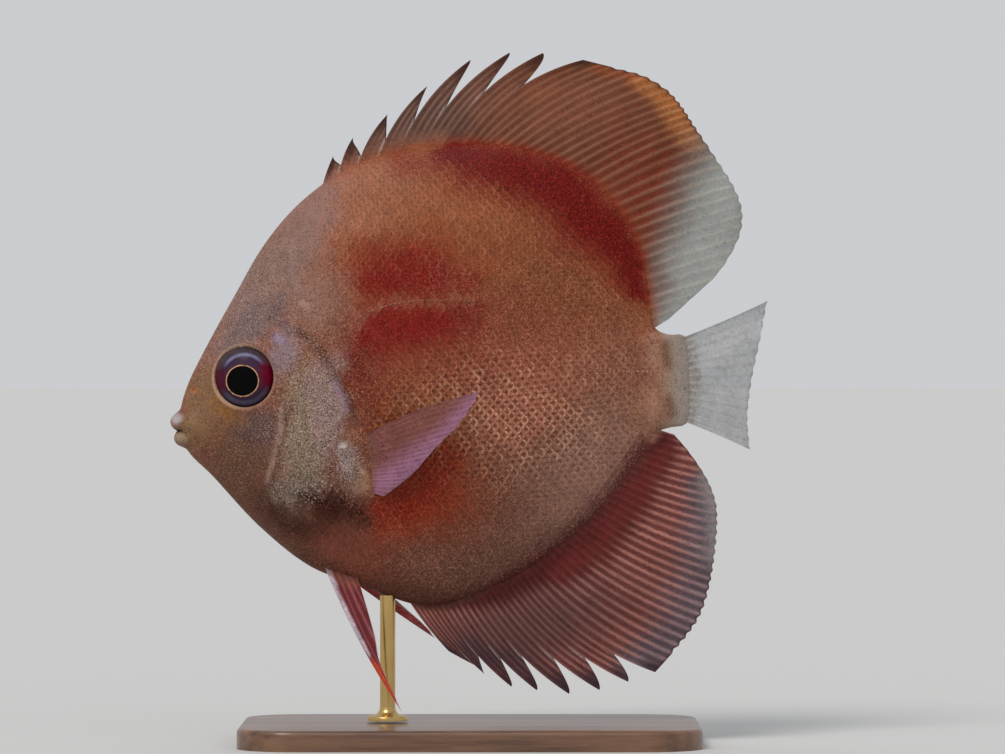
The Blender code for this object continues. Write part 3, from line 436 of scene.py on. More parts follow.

# Painted shade in creases and the mouth, painted glints and highlights, and pale spots of the head and the
# tail stalk, laid on the skin with sharper borders
FINE_MARKS = (
    ("Skin", 0.25, None, (
        # Dark crease behind the upper gill cover: painted shade
        ((76, 50, 42), ((300, 332, 3), (322, 350, 5), (338, 376, 4), (353, 404, 4), (358, 426, 3)), 0.8,
            0.6),
        # Lavender glints along the gill cover's rear edge: painted highlights
        ((156, 136, 160), ((338, 382, 2.5), (344, 397, 3.5), (347, 410, 2.5)), 0.9, 0.5),
        # Bluish glint behind the eye: a painted highlight
        ((150, 138, 176), (280, 339), (6, 4), -30.0, 0.9, 0.55),
        ((152, 122, 122), ((293, 240, 3), (291, 266, 3.5), (298, 292, 3)), 0.9, 0.3),
        ((98, 82, 88), ((284, 298, 5), (278, 318, 6), (292, 332, 4)), 0.7, 0.5),
        ((178, 144, 126), (305, 305), (7, 3), -20.0, 0.7, 0.6),
        ((84, 62, 54), ((285, 400, 1.6), (284, 432, 2.0), (276, 466, 2.0), (271, 486, 1.8)), 0.7, 0.75),
        ((170, 138, 122), ((281, 408, 1.6), (280, 432, 2.0), (272, 462, 2.0), (268, 482, 1.6)), 0.8, 0.7),
        ((160, 126, 106), ((684, 322, 24), (684, 374, 24), (684, 430, 24)), 0.25),
        ((156, 140, 126), ((678, 322, 8), (679, 374, 8), (678, 430, 8)), 0.9, 0.7),
        ((152, 144, 136), ((690, 322, 16), (691, 374, 16), (690, 430, 16)), 0.9),
        # Two dark marks on the tail stalk behind the last scales: painted shadow before the tail fin's root
        ((112, 82, 62), ((667, 346, 6), (667, 364, 5)), 0.9, 0.8),
        ((108, 76, 60), ((668, 398, 5), (669, 414, 7)), 0.9, 0.8),
        ((176, 146, 136), ((652, 334, 3), (651, 376, 4), (653, 420, 4)), 0.9, 0.4),
        ((190, 168, 168), (650, 362), (4, 5), 0.0, 0.9, 0.5),
        ((190, 168, 168), (651, 380), (4, 6), 0.0, 0.9, 0.5),
        ((168, 132, 106), ((361, 464, 4), (367, 477, 5), (371, 488, 4)), 0.8, 0.75),
        ((150, 128, 124), (347, 458), (11, 15), 0.0, 0.9, 0.6),
        *(
            ((92, 62, 52), ((357, 460 + (rise - 460) * 0.4, 1.0), (374, rise, 1.8)), 0.9, 0.55)
            for rise in range(436, 487, 10)
        ),
        # White spot at the pectoral base: a pale spot with a painted highlight
        ((226, 206, 206), (344, 444), (3.6, 2.8), 0.0, 0.7, 0.8),
        ((186, 156, 146), (346, 466), (3.5, 2.5), 0.0, 0.8, 0.5),
        # Pale bluish upper lip: its own pale colour, with a painted highlight
        ((190, 184, 190), (175, 419), (6, 6), 0.0, 0.6, 0.8),
        ((166, 146, 126), (180, 438), (8, 5), -20.0, 0.6, 0.7),
        # Dark line of the mouth between the lips, and the crease at its corner: painted shade
        ((44, 26, 22), ((170, 430.5, 1.8), (180, 431, 1.6), (186, 432, 1.0)), 0.6, 0.9),
        ((84, 58, 44), ((186, 432, 1.2), (195, 436, 1.2), (199, 443, 1.0)), 0.8, 0.4),
    )),
)

# Paint of the fins: skin, rays, and how strongly the rays show and how clear the skin is
DORSAL_CLEAR = ((752, 158, 44), (724, 208, 44), (711, 252, 44), (696, 296, 42), (684, 326, 34))
DORSAL_PAINT = (
    ("Skin", 0.5, (100, 58, 42), (
        ((94, 66, 58), (420, 120), (90, 40), 30.0, 0.6),
        ((120, 70, 52), (560, 108), (80, 30), -8.0, 0.7),
        ((112, 52, 38), (640, 195), (48, 66), 0.0, 0.7),
        ((112, 46, 32), ((636, 246, 8), (656, 205, 12), (668, 160, 12)), 0.9, 0.5),
        ((96, 56, 42), ((470, 142, 4), (520, 142, 5), (560, 158, 7), (612, 200, 7), (648, 256, 5)), 0.8,
            0.6),
        ((120, 80, 66), ((326, 180, 8), (352, 160, 10), (400, 146, 13), (440, 138, 8)), 0.9),
        ((124, 66, 42), ((596, 70, 5), (640, 80, 8), (668, 98, 10)), 0.9, 0.9),
        ((162, 98, 56), ((640, 84, 6), (672, 106, 13), (686, 130, 14), (698, 150, 8)), 0.9, 0.9),
        ((130, 132, 124), DORSAL_CLEAR, 0.75),
        ((110, 74, 66), ((652, 318, 6), (658, 300, 10), (660, 276, 10)), 0.9, 0.7),
    )),
    ("Streak", 0.5, (144, 98, 74), (
        ((146, 112, 98), (420, 110), (100, 50), 30.0, 0.6),
        ((158, 94, 62), ((596, 70, 5), (640, 80, 8), (668, 98, 10)), 0.9, 0.9),
        ((190, 132, 86), ((640, 84, 6), (672, 106, 13), (686, 130, 15), (702, 152, 8)), 0.9, 0.9),
        ((186, 184, 174), DORSAL_CLEAR, 0.9),
    )),
    ("Marks", 0.6, (0.65, 0.0, 0.0), (
        ((0.05, 0.0, 0.0), ((326, 180, 8), (352, 160, 12), (400, 146, 15), (460, 138, 10)), 0.9),
        ((0.6, 1.0, 0.0), DORSAL_CLEAR, 0.7),
    )),
)
ANAL_CLEAR = ((708, 462, 8), (718, 500, 14), (724, 545, 14), (724, 590, 10))
ANAL_PAINT = (
    ("Skin", 0.5, (104, 58, 54), (
        ((69, 25, 26), ((425, 600, 8), (500, 588, 24), (570, 552, 30), (622, 500, 28), (660, 448, 16)),
            0.6),
        ((88, 74, 80), ((630, 668, 18), (682, 636, 32), (704, 590, 30), (708, 540, 24), (700, 486, 14)),
            0.9),
        ((84, 54, 52), (510, 640), (110, 34), 20.0, 0.7, 0.9),
        ((100, 42, 40), ((560, 574, 10), (598, 546, 14), (640, 488, 15), (668, 452, 9)), 0.9, 0.9),
        ((62, 44, 52), ((470, 648, 10), (540, 678, 12), (600, 680, 12)), 0.9, 0.7),
        ((132, 122, 120), ANAL_CLEAR, 0.9, 0.9),
    )),
    ("Streak", 0.5, (176, 118, 108), (
        ((134, 98, 94), (510, 640), (110, 40), 20.0, 0.7),
        ((84, 64, 72), ((470, 652, 10), (540, 682, 12), (600, 684, 12)), 0.9, 0.7),
        ((118, 56, 52), ((425, 600, 8), (500, 585, 20), (570, 548, 26), (622, 496, 24), (660, 444, 12)),
            0.6),
        ((148, 122, 124), ((640, 668, 14), (686, 636, 26), (708, 590, 24), (712, 540, 20), (702, 486, 12)),
            0.9),
    )),
    ("Marks", 0.5, (0.85, 0.0, 0.0), (
        ((0.25, 0.0, 0.0), ((425, 600, 8), (500, 588, 18), (570, 552, 24), (622, 500, 22), (660, 448, 12)),
            0.6),
        ((0.15, 0.0, 0.0), ((560, 574, 10), (598, 546, 14), (640, 488, 16), (668, 452, 10)), 0.9),
        ((0.5, 0.0, 0.0), (500, 650), (110, 34), 20.0, 0.7),
        ((0.3, 0.75, 0.0), ANAL_CLEAR, 0.9),
    )),
)
TAIL_ROOT = ((686, 326, 7), (690, 375, 9), (686, 432, 7))
TAIL_PAINT = (
    ("Skin", 0.5, (156, 157, 158), (
        ((176, 176, 176), (730, 340), (60, 14), 20.0, 0.7),
        ((152, 142, 132), TAIL_ROOT, 0.8),
    )),
    ("Streak", 0.5, (188, 186, 184), ()),
    ("Marks", 0.5, (0.5, 0.9, 0.0), (
        ((0.4, 0.0, 0.0), TAIL_ROOT, 0.8),
    )),
)
PECTORAL_PAINT = (
    ("Skin", 0.3, (136, 84, 80), (
        ((154, 104, 128), ((376, 488, 13), (412, 468, 15), (446, 438, 12), (478, 396, 9)), 0.9),
        ((132, 98, 82), ((364, 440, 8), (368, 460, 9), (370, 490, 7)), 0.9),
    )),
    ("Streak", 0.3, (168, 116, 108), (
        ((88, 58, 48), ((384, 428, 10), (388, 446, 11), (390, 462, 8)), 0.9),
        ((188, 148, 172), ((376, 488, 12), (412, 468, 14), (446, 438, 10), (478, 398, 8)), 0.9),
    )),
    ("Marks", 0.3, (0.4, 0.85, 0.0), (
        ((0.42, 0.3, 0.0), ((372, 484, 14), (410, 464, 16), (445, 436, 12), (478, 396, 8)), 0.8),
        ((0.6, 0.3, 0.0), ((382, 428, 8), (386, 446, 9), (388, 462, 7)), 0.9),
    )),
)
PELVIC_EDGE = ((327, 572, 3.6), (342, 602, 2.6), (354, 625, 2.2), (369, 652, 1.6))
PELVIC_TIP = ((374, 660, 4), (385, 682, 5), (398, 702, 5))
LEFT_PELVIC_PAINT = (
    ("Skin", 0.3, (104, 44, 46), (
        ((128, 72, 54), ((332, 576, 5), (346, 580, 6), (354, 584, 5)), 0.9, 0.8),
        ((194, 178, 190), PELVIC_EDGE, 0.8, 0.9),
        ((186, 70, 46), PELVIC_TIP, 0.7),
        ((214, 192, 184), ((401, 710, 6), (404, 716, 6)), 0.6, 0.9),
    )),
    ("Streak", 0.3, (160, 96, 104), (
        ((206, 192, 202), PELVIC_EDGE, 0.8, 0.9),
        ((214, 104, 78), PELVIC_TIP, 0.7),
        ((214, 192, 184), ((402, 711, 5), (404, 716, 5)), 0.6, 0.9),
    )),
    ("Marks", 0.3, (0.6, 0.0, 0.0), ()),
)
RIGHT_PELVIC_PAINT = (
    ("Skin", 0.3, (176, 160, 156), (
        ((168, 18, 20), ((362, 584, 5), (390, 606, 6), (420, 630, 4), (436, 640, 3)), 0.5),
        ((204, 84, 86), ((412, 620, 6), (424, 630, 6), (436, 640, 6)), 0.6, 0.8),
    )),
    ("Streak", 0.3, (196, 60, 56), ()),
    ("Marks", 0.3, (0.4, 0.3, 0.0), ()),
)

# Fins of the middle plane: name, colour and paint, how far the body's colours reach, then the shape
MEDIAN_FINS = (
    ("dorsal", "dorsal margin", DORSAL_PAINT, 2.8, (DORSAL_FROM, DORSAL_TO), DORSAL_SPINES,
        SPINES_SHARE_OF_DORSAL, DORSAL_SOFT, DORSAL_SOFT_COUNT, DORSAL_FULLNESS, 1),
    ("anal", "anal margin", ANAL_PAINT, 2.4, (ANAL_FROM, ANAL_TO), ANAL_SPINES,
        SPINES_SHARE_OF_ANAL, ANAL_SOFT, ANAL_SOFT_COUNT, ANAL_FULLNESS, -1),
)

# Paired fins: kind, side and slot, paint, how far the body's colours reach, then the shape
PECTORAL = (PECTORAL_ROOT, PECTORAL_ROOT_Y, PECTORAL_RAYS, PECTORAL_RAY_COUNT, PECTORAL_FLARE)
LEFT_PELVIC = (LEFT_PELVIC_ROOT, PELVIC_ROOT_Y, LEFT_PELVIC_RAYS, PELVIC_RAY_COUNT, LEFT_PELVIC_FLARE)
RIGHT_PELVIC = (RIGHT_PELVIC_ROOT, PELVIC_ROOT_Y, RIGHT_PELVIC_RAYS, PELVIC_RAY_COUNT, RIGHT_PELVIC_FLARE)
PAIRED_FINS = (
    ("pectoral", "left", "pink_fin", PECTORAL_PAINT, 2.2, *PECTORAL),
    ("pectoral", "right", "pink_fin", PECTORAL_PAINT, 2.2, *PECTORAL),
    ("pelvic", "left", "red_fin", LEFT_PELVIC_PAINT, 2.0, *LEFT_PELVIC),
    ("pelvic", "right", "red_fin", RIGHT_PELVIC_PAINT, 2.0, *RIGHT_PELVIC),
)


def at_pixel(u, v):
    """Level x and z of a pixel of the photograph."""
    across, up = (u - SNOUT_PIXEL[0]) * MM_PER_PIXEL, (SNOUT_PIXEL[1] - v) * MM_PER_PIXEL
    cos, sin = math.cos(NOSE_DOWN), math.sin(NOSE_DOWN)
    return across * cos + up * sin, up * cos - across * sin


def level_to_row():
    """Carries the level frame, in millimetres, to its place over the stand."""
    low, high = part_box("eye_left")
    eye = (low + high) / 2
    turn = Matrix.Rotation(-NOSE_DOWN, 4, "Y")
    place = eye - turn @ Vector((EYE_AT[0], 0.0, EYE_AT[1])) * MM
    return Matrix.Translation((place.x, 0.0, place.z)) @ turn @ Matrix.Scale(MM, 4)


LEVEL = level_to_row()


def smooth_step(low, high, value):
    share = np.clip((value - low) / (high - low), 0.0, 1.0)
    return share * share * (3 - 2 * share)


def hump(value, middle, width):
    return np.exp(-(((value - middle) / width) ** 2))


def smooth_table(rows, x):
    """The values of a table at x, on a smooth curve through its rows, as one row for each x."""
    rows = np.asarray(rows, float)
    at, values = rows[:, 0], rows[:, 1:]
    x = np.clip(np.atleast_1d(np.asarray(x, float)), at[0], at[-1])
    i = np.clip(np.searchsorted(at, x, side="right") - 1, 0, len(at) - 2)
    before = np.maximum(np.arange(len(at)) - 1, 0)
    after = np.minimum(np.arange(len(at)) + 1, len(at) - 1)
    slopes = (values[after] - values[before]) / (at[after] - at[before])[:, None]
    width = (at[i + 1] - at[i])[:, None]
    t = (x - at[i])[:, None] / width
    return (
        (2 * t**3 - 3 * t**2 + 1) * values[i]
        + (t**3 - 2 * t**2 + t) * width * slopes[i]
        + (3 * t**2 - 2 * t**3) * values[i + 1]
        + (t**3 - t**2) * width * slopes[i + 1]
    )


def body_edge(s):
    """x, z and half the thickness of the body's edge, where s counts the points of BODY_EDGE."""
    count = len(BODY_EDGE)
    i = math.floor(s)
    before, start, end, after = (Vector(BODY_EDGE[(i + k) % count]) for k in (-1, 0, 1, 2))
    knots = [0.0]
    for a, b in ((before, start), (start, end), (end, after)):
        knots.append(knots[-1] + math.sqrt((b.xy - a.xy).length))
    at = knots[1] + (s - i) * (knots[2] - knots[1])

    def between(a, b, low, high):
        return a.lerp(b, (at - knots[low]) / (knots[high] - knots[low]))

    first = between(before, start, 0, 1)
    second = between(start, end, 1, 2)
    third = between(end, after, 2, 3)
    return between(between(first, second, 0, 2), between(second, third, 1, 3), 1, 2)


def stretch_of_edge(start, end, shares, away):
    """Points at these shares of the length of a stretch of the body's edge, this far outside it."""
    samples = [start + (end - start) * i / EDGE_SAMPLES for i in range(EDGE_SAMPLES + 1)]
    points = np.array([body_edge(s)[:2] for s in samples])
    steps = np.linalg.norm(np.diff(points, axis=0), axis=1)
    lengths = np.concatenate([[0.0], np.cumsum(steps)])
    goals = np.asarray(shares) * lengths[-1]
    found = np.stack([np.interp(goals, lengths, points[:, k]) for k in (0, 1)], axis=1)
    tangents = np.gradient(points, axis=0) * (1 if end > start else -1)
    along = np.stack([np.interp(goals, lengths, tangents[:, k]) for k in (0, 1)], axis=1)
    along /= np.linalg.norm(along, axis=1)[:, None]
    return found + np.stack([-along[:, 1], along[:, 0]], axis=1) * away


def sway(x):
    """How far the fish's middle plane lies to its right, at x."""
    return SWAY_AT_TIP * np.maximum(0.0, (x - SWAY_FROM) / (SWAY_TIP - SWAY_FROM)) ** 2


def sway_slope(x):
    return 2 * SWAY_AT_TIP * np.maximum(0.0, x - SWAY_FROM) / (SWAY_TIP - SWAY_FROM) ** 2


def edge_stations(width_at):
    """Values of s along the whole edge, this far apart."""
    stations = []
    for i in range(len(BODY_EDGE)):
        length = (body_edge(i + 1).xy - body_edge(i).xy).length
        steps = max(1, round(length / width_at(i)))
        stations += [i + k / steps for k in range(steps)]
    return np.array(stations)


class Edge:
    """The body's edge at the columns of a mesh: places, half thickness, and reach smoothed along the edge."""

    def __init__(self, stations):
        coarse = edge_stations(lambda i: COLUMN_WIDTH)
        reaches = [(body_edge(s).xy - Vector(BODY_CENTRE)).length for s in coarse]
        near = range(-SMOOTHED_COLUMNS, SMOOTHED_COLUMNS + 1)
        smooth = sum(np.roll(reaches, -k) for k in near) / len(near)
        points = np.array([body_edge(s) for s in stations])
        self.stations = stations
        self.place = points[:, :2]
        self.half = points[:, 2]
        self.smooth = np.interp(stations, coarse, smooth, period=len(BODY_EDGE))
        self.reach = np.linalg.norm(self.place - BODY_CENTRE, axis=1)

    def half_thickness(self, x, z):
        """Half the thickness of the body at points, whose last axis runs along the columns."""
        away = np.hypot(x - BODY_CENTRE[0], z - BODY_CENTRE[1])
        out = np.minimum(1.0, away / self.reach)
        rim = smooth_step(RIM_FROM, 1.0, out)
        out = np.minimum(1.0, out * rim + away / self.smooth * (1 - rim))
        full = smooth_table(FULLNESS, x.ravel())[:, 0].reshape(x.shape)
        return self.half + (full - self.half) * (1 - out**THINNING) ** ROUNDNESS


def rounded(outline, steps):
    """A closed outline with this many points on a smooth curve from each of its points to the next."""
    ring = np.array(outline)
    t = np.arange(steps)[:, None] / steps
    points = []
    for i in range(len(ring)):
        before, start, end, after = (ring[(i + k) % len(ring)] for k in (-1, 0, 1, 2))
        points.append(
            0.5
            * (
                2 * start
                + (end - before) * t
                + (2 * before - 5 * start + 4 * end - after) * t**2
                + (3 * start - before - 3 * end + after) * t**3
            )
        )
    return np.concatenate(points)


def distance_to_line(x, z, line):
    """Distance of points from an open line of x and z."""
    best = np.full(x.shape, np.inf)
    for (ax, az), (bx, bz) in zip(line, line[1:]):
        dx, dz = bx - ax, bz - az
        t = np.clip(((x - ax) * dx + (z - az) * dz) / (dx * dx + dz * dz), 0.0, 1.0)
        best = np.minimum(best, np.hypot(x - ax - t * dx, z - az - t * dz))
    return best


def inside(x, z, outline):
    """Whether points lie in a closed outline of x and z."""
    found = np.zeros(x.shape, bool)
    for (ax, az), (bx, bz) in zip(outline, np.roll(outline, -1, axis=0)):
        crosses = (az > z) != (bz > z)
        with np.errstate(divide="ignore", invalid="ignore"):
            found ^= crosses & (x < (bx - ax) * (z - az) / (bz - az) + ax)
    return found


def to_pixels(x, z):
    """The photograph's pixels over level x and z."""
    cos, sin = math.cos(NOSE_DOWN), math.sin(NOSE_DOWN)
    across, up = x * cos - z * sin, x * sin + z * cos
    return SNOUT_PIXEL[0] + across / MM_PER_PIXEL, SNOUT_PIXEL[1] - up / MM_PER_PIXEL


def seen(red, green, blue):
    """A colour seen as these 8-bit values, as linear light."""
    return tuple((value / 255) ** 2.2 for value in (red, green, blue)) + (1.0,)


def tint(name):
    """A named colour of the looks."""
    return seen(*COLOURS[name])


def cloud(u, v, size, seed):
    """Smooth chance values from -1 to 1, with features of this size."""
    grid = np.random.default_rng(seed).uniform(-1.0, 1.0, (CLOUD_GRID, CLOUD_GRID))
    a, b = u / size, v / size
    i, j = np.floor(a).astype(int), np.floor(b).astype(int)
    s, t = smooth_step(0.0, 1.0, a - i), smooth_step(0.0, 1.0, b - j)
    i, j, i_next, j_next = (k % CLOUD_GRID for k in (i, j, i + 1, j + 1))
    low = grid[i, j] * (1 - s) + grid[i_next, j] * s
    high = grid[i, j_next] * (1 - s) + grid[i_next, j_next] * s
    return low * (1 - t) + high * t


class Canvas:
    """Values at points of the fish's side, laid on in order like paint, at the photograph's pixels."""

    def __init__(self, x, z, value, wander):
        u, v = to_pixels(x, z)
        self.u = u + wander * sum(far * cloud(u, v, size, seed) for far, size, seed, _ in WANDERING)
        self.v = v + wander * sum(far * cloud(u, v, size, seed) for far, size, _, seed in WANDERING)
        self.value = value

    def lay(self, value, share):
        self.value += (np.array(value) - self.value) * np.clip(share, 0.0, 1.0)[:, None]

    def wash(self, value, span):
        """A ground that comes in from one height down to another."""
        self.lay(value, smooth_step(*span, self.v))

    def patch(self, value, middle, radii, lean=0.0, soft=0.6, strength=1.0):
        """An ellipse that leans up towards the tail by so many degrees, with a soft border."""
        dx, dz = self.u - middle[0], middle[1] - self.v
        cos, sin = math.cos(math.radians(lean)), math.sin(math.radians(lean))
        away = np.hypot((dx * cos + dz * sin) / radii[0], (dz * cos - dx * sin) / radii[1])
        self.lay(value, strength * smooth_step(1 + soft, 1 - soft, away))

    def stroke(self, value, line, soft=0.5, strength=1.0):
        """A brush stroke through points, each with half the width there."""
        best = np.full(self.u.shape, np.inf)
        for (u, v, wide), (next_u, next_v, next_wide) in zip(line, line[1:]):
            du, dv = next_u - u, next_v - v
            t = np.clip(((self.u - u) * du + (self.v - v) * dv) / (du * du + dv * dv), 0.0, 1.0)
            away = np.hypot(self.u - u - t * du, self.v - v - t * dv)
            best = np.minimum(best, away / (wide + t * (next_wide - wide)))
        self.lay(value, strength * smooth_step(1 + soft, 1 - soft, best))


def painted(layers, x, z):
    """The values of each layer of paint at points, as a dictionary.

    A layer holds its name, how far its borders wander, its ground and its rows, which are laid on in order.
    Without a ground it goes on the layer before it of the same name. A row starts with its value: a colour as
    8-bit values, or plain shares in "Marks". Then come a wash's upper and lower end, or a patch's middle,
    radii, lean, softness and strength, or a stroke's points, softness and strength.
    """
    values = {}
    for name, wander, ground, rows in layers:
        mixed = (lambda value: value) if name == "Marks" else (lambda value: seen(*value)[:3])
        if ground:
            values[name] = np.tile(np.array(mixed(ground), float), (len(x), 1))
        canvas = Canvas(x, z, values[name], wander)
        for value, where, *rest in rows:
            lay_on = canvas.stroke if isinstance(where[0], tuple) else canvas.patch if rest else canvas.wash
            lay_on(mixed(value), where, *rest)
    return values


def new_piece(name, points, faces, looks, maps=None, paint=None):
    """A mesh of points in the level frame, with maps of a pair and paint of three values for each point."""
    placed = np.asarray(points, float) @ np.array(LEVEL.to_3x3()).T + np.array(LEVEL.translation)
    mesh = bpy.data.meshes.new(name)
    mesh.from_pydata(placed.tolist(), [], faces)
    corners = np.empty(len(mesh.loops), np.int32)
    mesh.loops.foreach_get("vertex_index", corners)
    for map_name, pairs in (maps or {}).items():
        layer = mesh.uv_layers.new(name=map_name)
        layer.data.foreach_set("uv", np.asarray(pairs, np.float32)[corners].ravel())
    for paint_name, values in (paint or {}).items():
        layer = mesh.attributes.new(paint_name, "FLOAT_VECTOR", "POINT")
        layer.data.foreach_set("vector", np.asarray(values, np.float32).ravel())
    for look in looks:
        mesh.materials.append(look)
    mesh.shade_smooth()
    made = bpy.data.objects.new(name, mesh)
    bpy.context.scene.collection.objects.link(made)
    return made


def finish_piece(made, slot, *replaced):
    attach(made, "root")
    if replaced:
        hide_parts(*replaced)
    return made


def gill_relief(x, z):
    """The gill cover's plate, its free rear edge and the dark groove behind it."""
    outline = rounded(GILL_COVER, GILL_STEPS)
    to_rear = distance_to_line(x, z, outline[GILL_REAR])
    to_front = distance_to_line(x, z, np.concatenate([outline[GILL_REAR.stop :], outline[: GILL_REAR.start]]))
    free = smooth_step(*GILL_FREE, z)
    rise = smooth_step(0.0, 1.0, to_rear / (0.7 + 3.0 * (1 - free)))
    plate = GILL_PLATE * rise * (0.25 + 0.75 * smooth_step(0.0, 3.5, to_front))
    ridge = GILL_RIDGE * hump(to_front, 0.2, 0.6) * smooth_step(0.5, 2.5, to_rear)
    groove = -(0.02 + GILL_GROOVE * free) * hump(to_rear, 0.4, 0.7) * (x > GILL_GROOVE_FROM)
    return np.where(inside(x, z, outline), plate + ridge, groove + ridge)


def head_relief(x, z):
    """Eye fold and socket, nostril, folds of the mouth and cheek, and the fleshy base of the pectoral fin."""
    from_eye = np.hypot((x - EYE_AT[0]) / math.cos(EYE_TURN), z - EYE_AT[1])
    fold = 0.3 * hump(from_eye, 5.25, 0.45) - 0.85 * np.exp(-np.maximum(0.0, from_eye - EYE_RIM) / 0.2)
    socket = np.where(from_eye < SOCKET_RADIUS, -SOCKET_DEPTH, fold)
    from_nostril = np.hypot(x - NOSTRIL_AT[0], z - NOSTRIL_AT[1])
    nostril = 0.12 * hump(from_nostril, 0.62, 0.22) - 0.55 * smooth_step(0.5, 0.28, from_nostril)
    from_jaw = distance_to_line(x, z, JAW_FOLD)
    jaw = -0.28 * hump(from_jaw, 0.0, 0.3) + 0.1 * hump(from_jaw, 0.75, 0.35)
    cheek = -0.1 * hump(distance_to_line(x, z, CHEEK_FOLD), 0.0, 0.8)
    shoulder = 0.55 * hump(distance_to_line(x, z, PECTORAL_ROOT), 0.0, 1.9) * (x > 22.0)
    muzzle = MUZZLE_RISE * hump(np.hypot(x - MUZZLE_AT[0], z - MUZZLE_AT[1]), 0.0, 3.0)
    hollow = 0.35 * hump(distance_to_line(x, z, PECTORAL_HOLLOW), 0.0, 2.4)
    return socket + nostril + jaw + cheek + shoulder + muzzle - hollow


def body_relief(x, z):
    """Soft waves of the flesh, so that no flank is a perfect lens."""
    waves = np.sin(x * 0.55 + 0.4 * z) * np.sin(z * 0.47 - 0.2 * x) + 0.6 * np.sin(x * 0.23 - z * 0.31)
    return FLESH_WAVES * waves


def snapped_to_eye(x, z):
    """Moves the points nearest the rim of the eye on to it, so that the rim is cut clean."""
    across, up = (x - EYE_AT[0]) / math.cos(EYE_TURN), z - EYE_AT[1]
    away = np.hypot(across, up)
    share = np.where(np.abs(away - EYE_RIM) < EYE_RIM_SNAP, EYE_RIM / np.maximum(away, 0.1), 1.0)
    return EYE_AT[0] + across * share * math.cos(EYE_TURN), EYE_AT[1] + up * share


def tube_faces(rings, sides):
    """Faces between closed rings of so many points, one ring after another."""
    k = np.arange(sides)
    after = (k + 1) % sides
    rows = (sides * ring for ring in range(rings - 1))
    corners = [np.stack([low + k, low + after, low + sides + after, low + sides + k], axis=1) for low in rows]
    return np.concatenate(corners).tolist()


def skin_body():
    """Points and faces of the whole body's skin, closed all round."""
    first, last = HEAD_POINTS
    edge = Edge(edge_stations(lambda i: HEAD_COLUMN if i >= first or i < last else SKIN_COLUMN))
    count = len(edge.stations)
    out = 1 - (1 - np.arange(1, SKIN_ROWS + 1) / SKIN_ROWS) ** ROW_CROWDING
    reach = edge.place - BODY_CENTRE
    x = BODY_CENTRE[0] + out[:, None] * reach[:, 0]
    z = BODY_CENTRE[1] + out[:, None] * reach[:, 1]
    y = edge.half_thickness(x, z)
    fade = smooth_step(1.0, FLAT_RIM, out)[:, None]
    x, z = snapped_to_eye(x, z)
    y = y + (gill_relief(x, z) + head_relief(x, z) + body_relief(x, z)) * fade
    rings = [np.stack([x, -y, z], axis=2)]
    outward = reach / edge.reach[:, None]
    for turn in RIM_TURNS:
        bulge = RIM_BULGE * edge.half * math.sin(math.radians(turn))
        rim_x, rim_z = (edge.place + outward * bulge[:, None]).T
        rim_y = -edge.half * math.cos(math.radians(turn))
        rings.append(np.stack([rim_x, rim_y, rim_z], axis=1)[None])
    rings.append(np.stack([x, y, z], axis=2)[::-1])
    rings = np.concatenate(rings)
    middle = smooth_table(FULLNESS, BODY_CENTRE[0])[0, 0]
    poles = np.array([(BODY_CENTRE[0], -middle, BODY_CENTRE[1]), (BODY_CENTRE[0], middle, BODY_CENTRE[1])])
    points = np.concatenate([rings.reshape(-1, 3), poles])
    points[:, 1] += sway(points[:, 0])
    k = np.arange(count)
    after = (k + 1) % count
    faces = tube_faces(len(rings), count)
    left, right = len(points) - 2, len(points) - 1
    last_row = (len(rings) - 1) * count
    faces += np.stack([np.full(count, left), after, k], axis=1).tolist()
    faces += np.stack([np.full(count, right), last_row + k, last_row + after], axis=1).tolist()
    return points, faces


def lip(sizes):
    """Points and faces of a lip, a thick arc round the mouth, thinner at its corners."""
    height, reach, gape, radius = sizes
    points = []
    for i in range(LIP_STATIONS):
        share = 2 * i / (LIP_STATIONS - 1) - 1
        sweep = share * LIP_SWEEP
        middle = Vector((LIP_CORNER_X - reach * math.cos(sweep), gape * math.sin(sweep), height))
        outward = Vector((-gape * math.cos(sweep), reach * math.sin(sweep), 0.0)).normalized()
        size = radius * (1 - LIP_TAPER * share**4)
        for k in range(LIP_SIDES):
            angle = math.tau * k / LIP_SIDES
            depth = size if math.cos(angle) > 0 else size * LIP_INNER_SHARE
            rise = Vector((0.0, 0.0, math.sin(angle) * size))
            points.append(middle + outward * math.cos(angle) * depth + rise)
    faces = tube_faces(LIP_STATIONS, LIP_SIDES)
    end = (LIP_STATIONS - 1) * LIP_SIDES
    faces.append(list(range(LIP_SIDES))[::-1])
    faces.append(list(range(end, end + LIP_SIDES)))
    return np.array(points), faces


def joined(*shapes):
    """Several shapes' points and faces as one."""
    points, faces, first = [], [], 0
    for some_points, some_faces in shapes:
        points.append(some_points)
        faces += [[first + v for v in face] for face in some_faces]
        first += len(some_points)
    return np.concatenate(points), faces


def closed(mesh, merged_within=0.0):
    """Joins a mesh's points that meet, and turns all its faces outwards."""
    bm = bmesh.new()
    bm.from_mesh(mesh)
    if merged_within:
        bmesh.ops.remove_doubles(bm, verts=bm.verts, dist=merged_within)
    bmesh.ops.recalc_face_normals(bm, faces=bm.faces)
    bm.to_mesh(mesh)
    bm.free()


def unwrap(points, side):
    """The skin's own unwrap: each side laid out flat as a disc, side by side."""
    across = (points[:, 0] - BODY_CENTRE[0]) / UNWRAP_LENGTH
    up = (points[:, 2] - BODY_CENTRE[1]) / UNWRAP_LENGTH
    bulge = 1 + UNWRAP_BULGE * np.hypot(across, up)
    middle = 0.25 if side < 0 else 0.75
    places = [middle - side * -across * UNWRAP_SIZE[0] * bulge, 0.5 + up * UNWRAP_SIZE[1] * bulge]
    return np.stack(places, axis=1)


def on_skin(tree, x, z, side):
    """Place and normal of the skin over level x and z of one side."""
    start = LEVEL @ Vector((x, side * CAST_FROM + sway(x), z))
    return tree.ray_cast(start, Vector((0.0, -side, 0.0)))[:2]


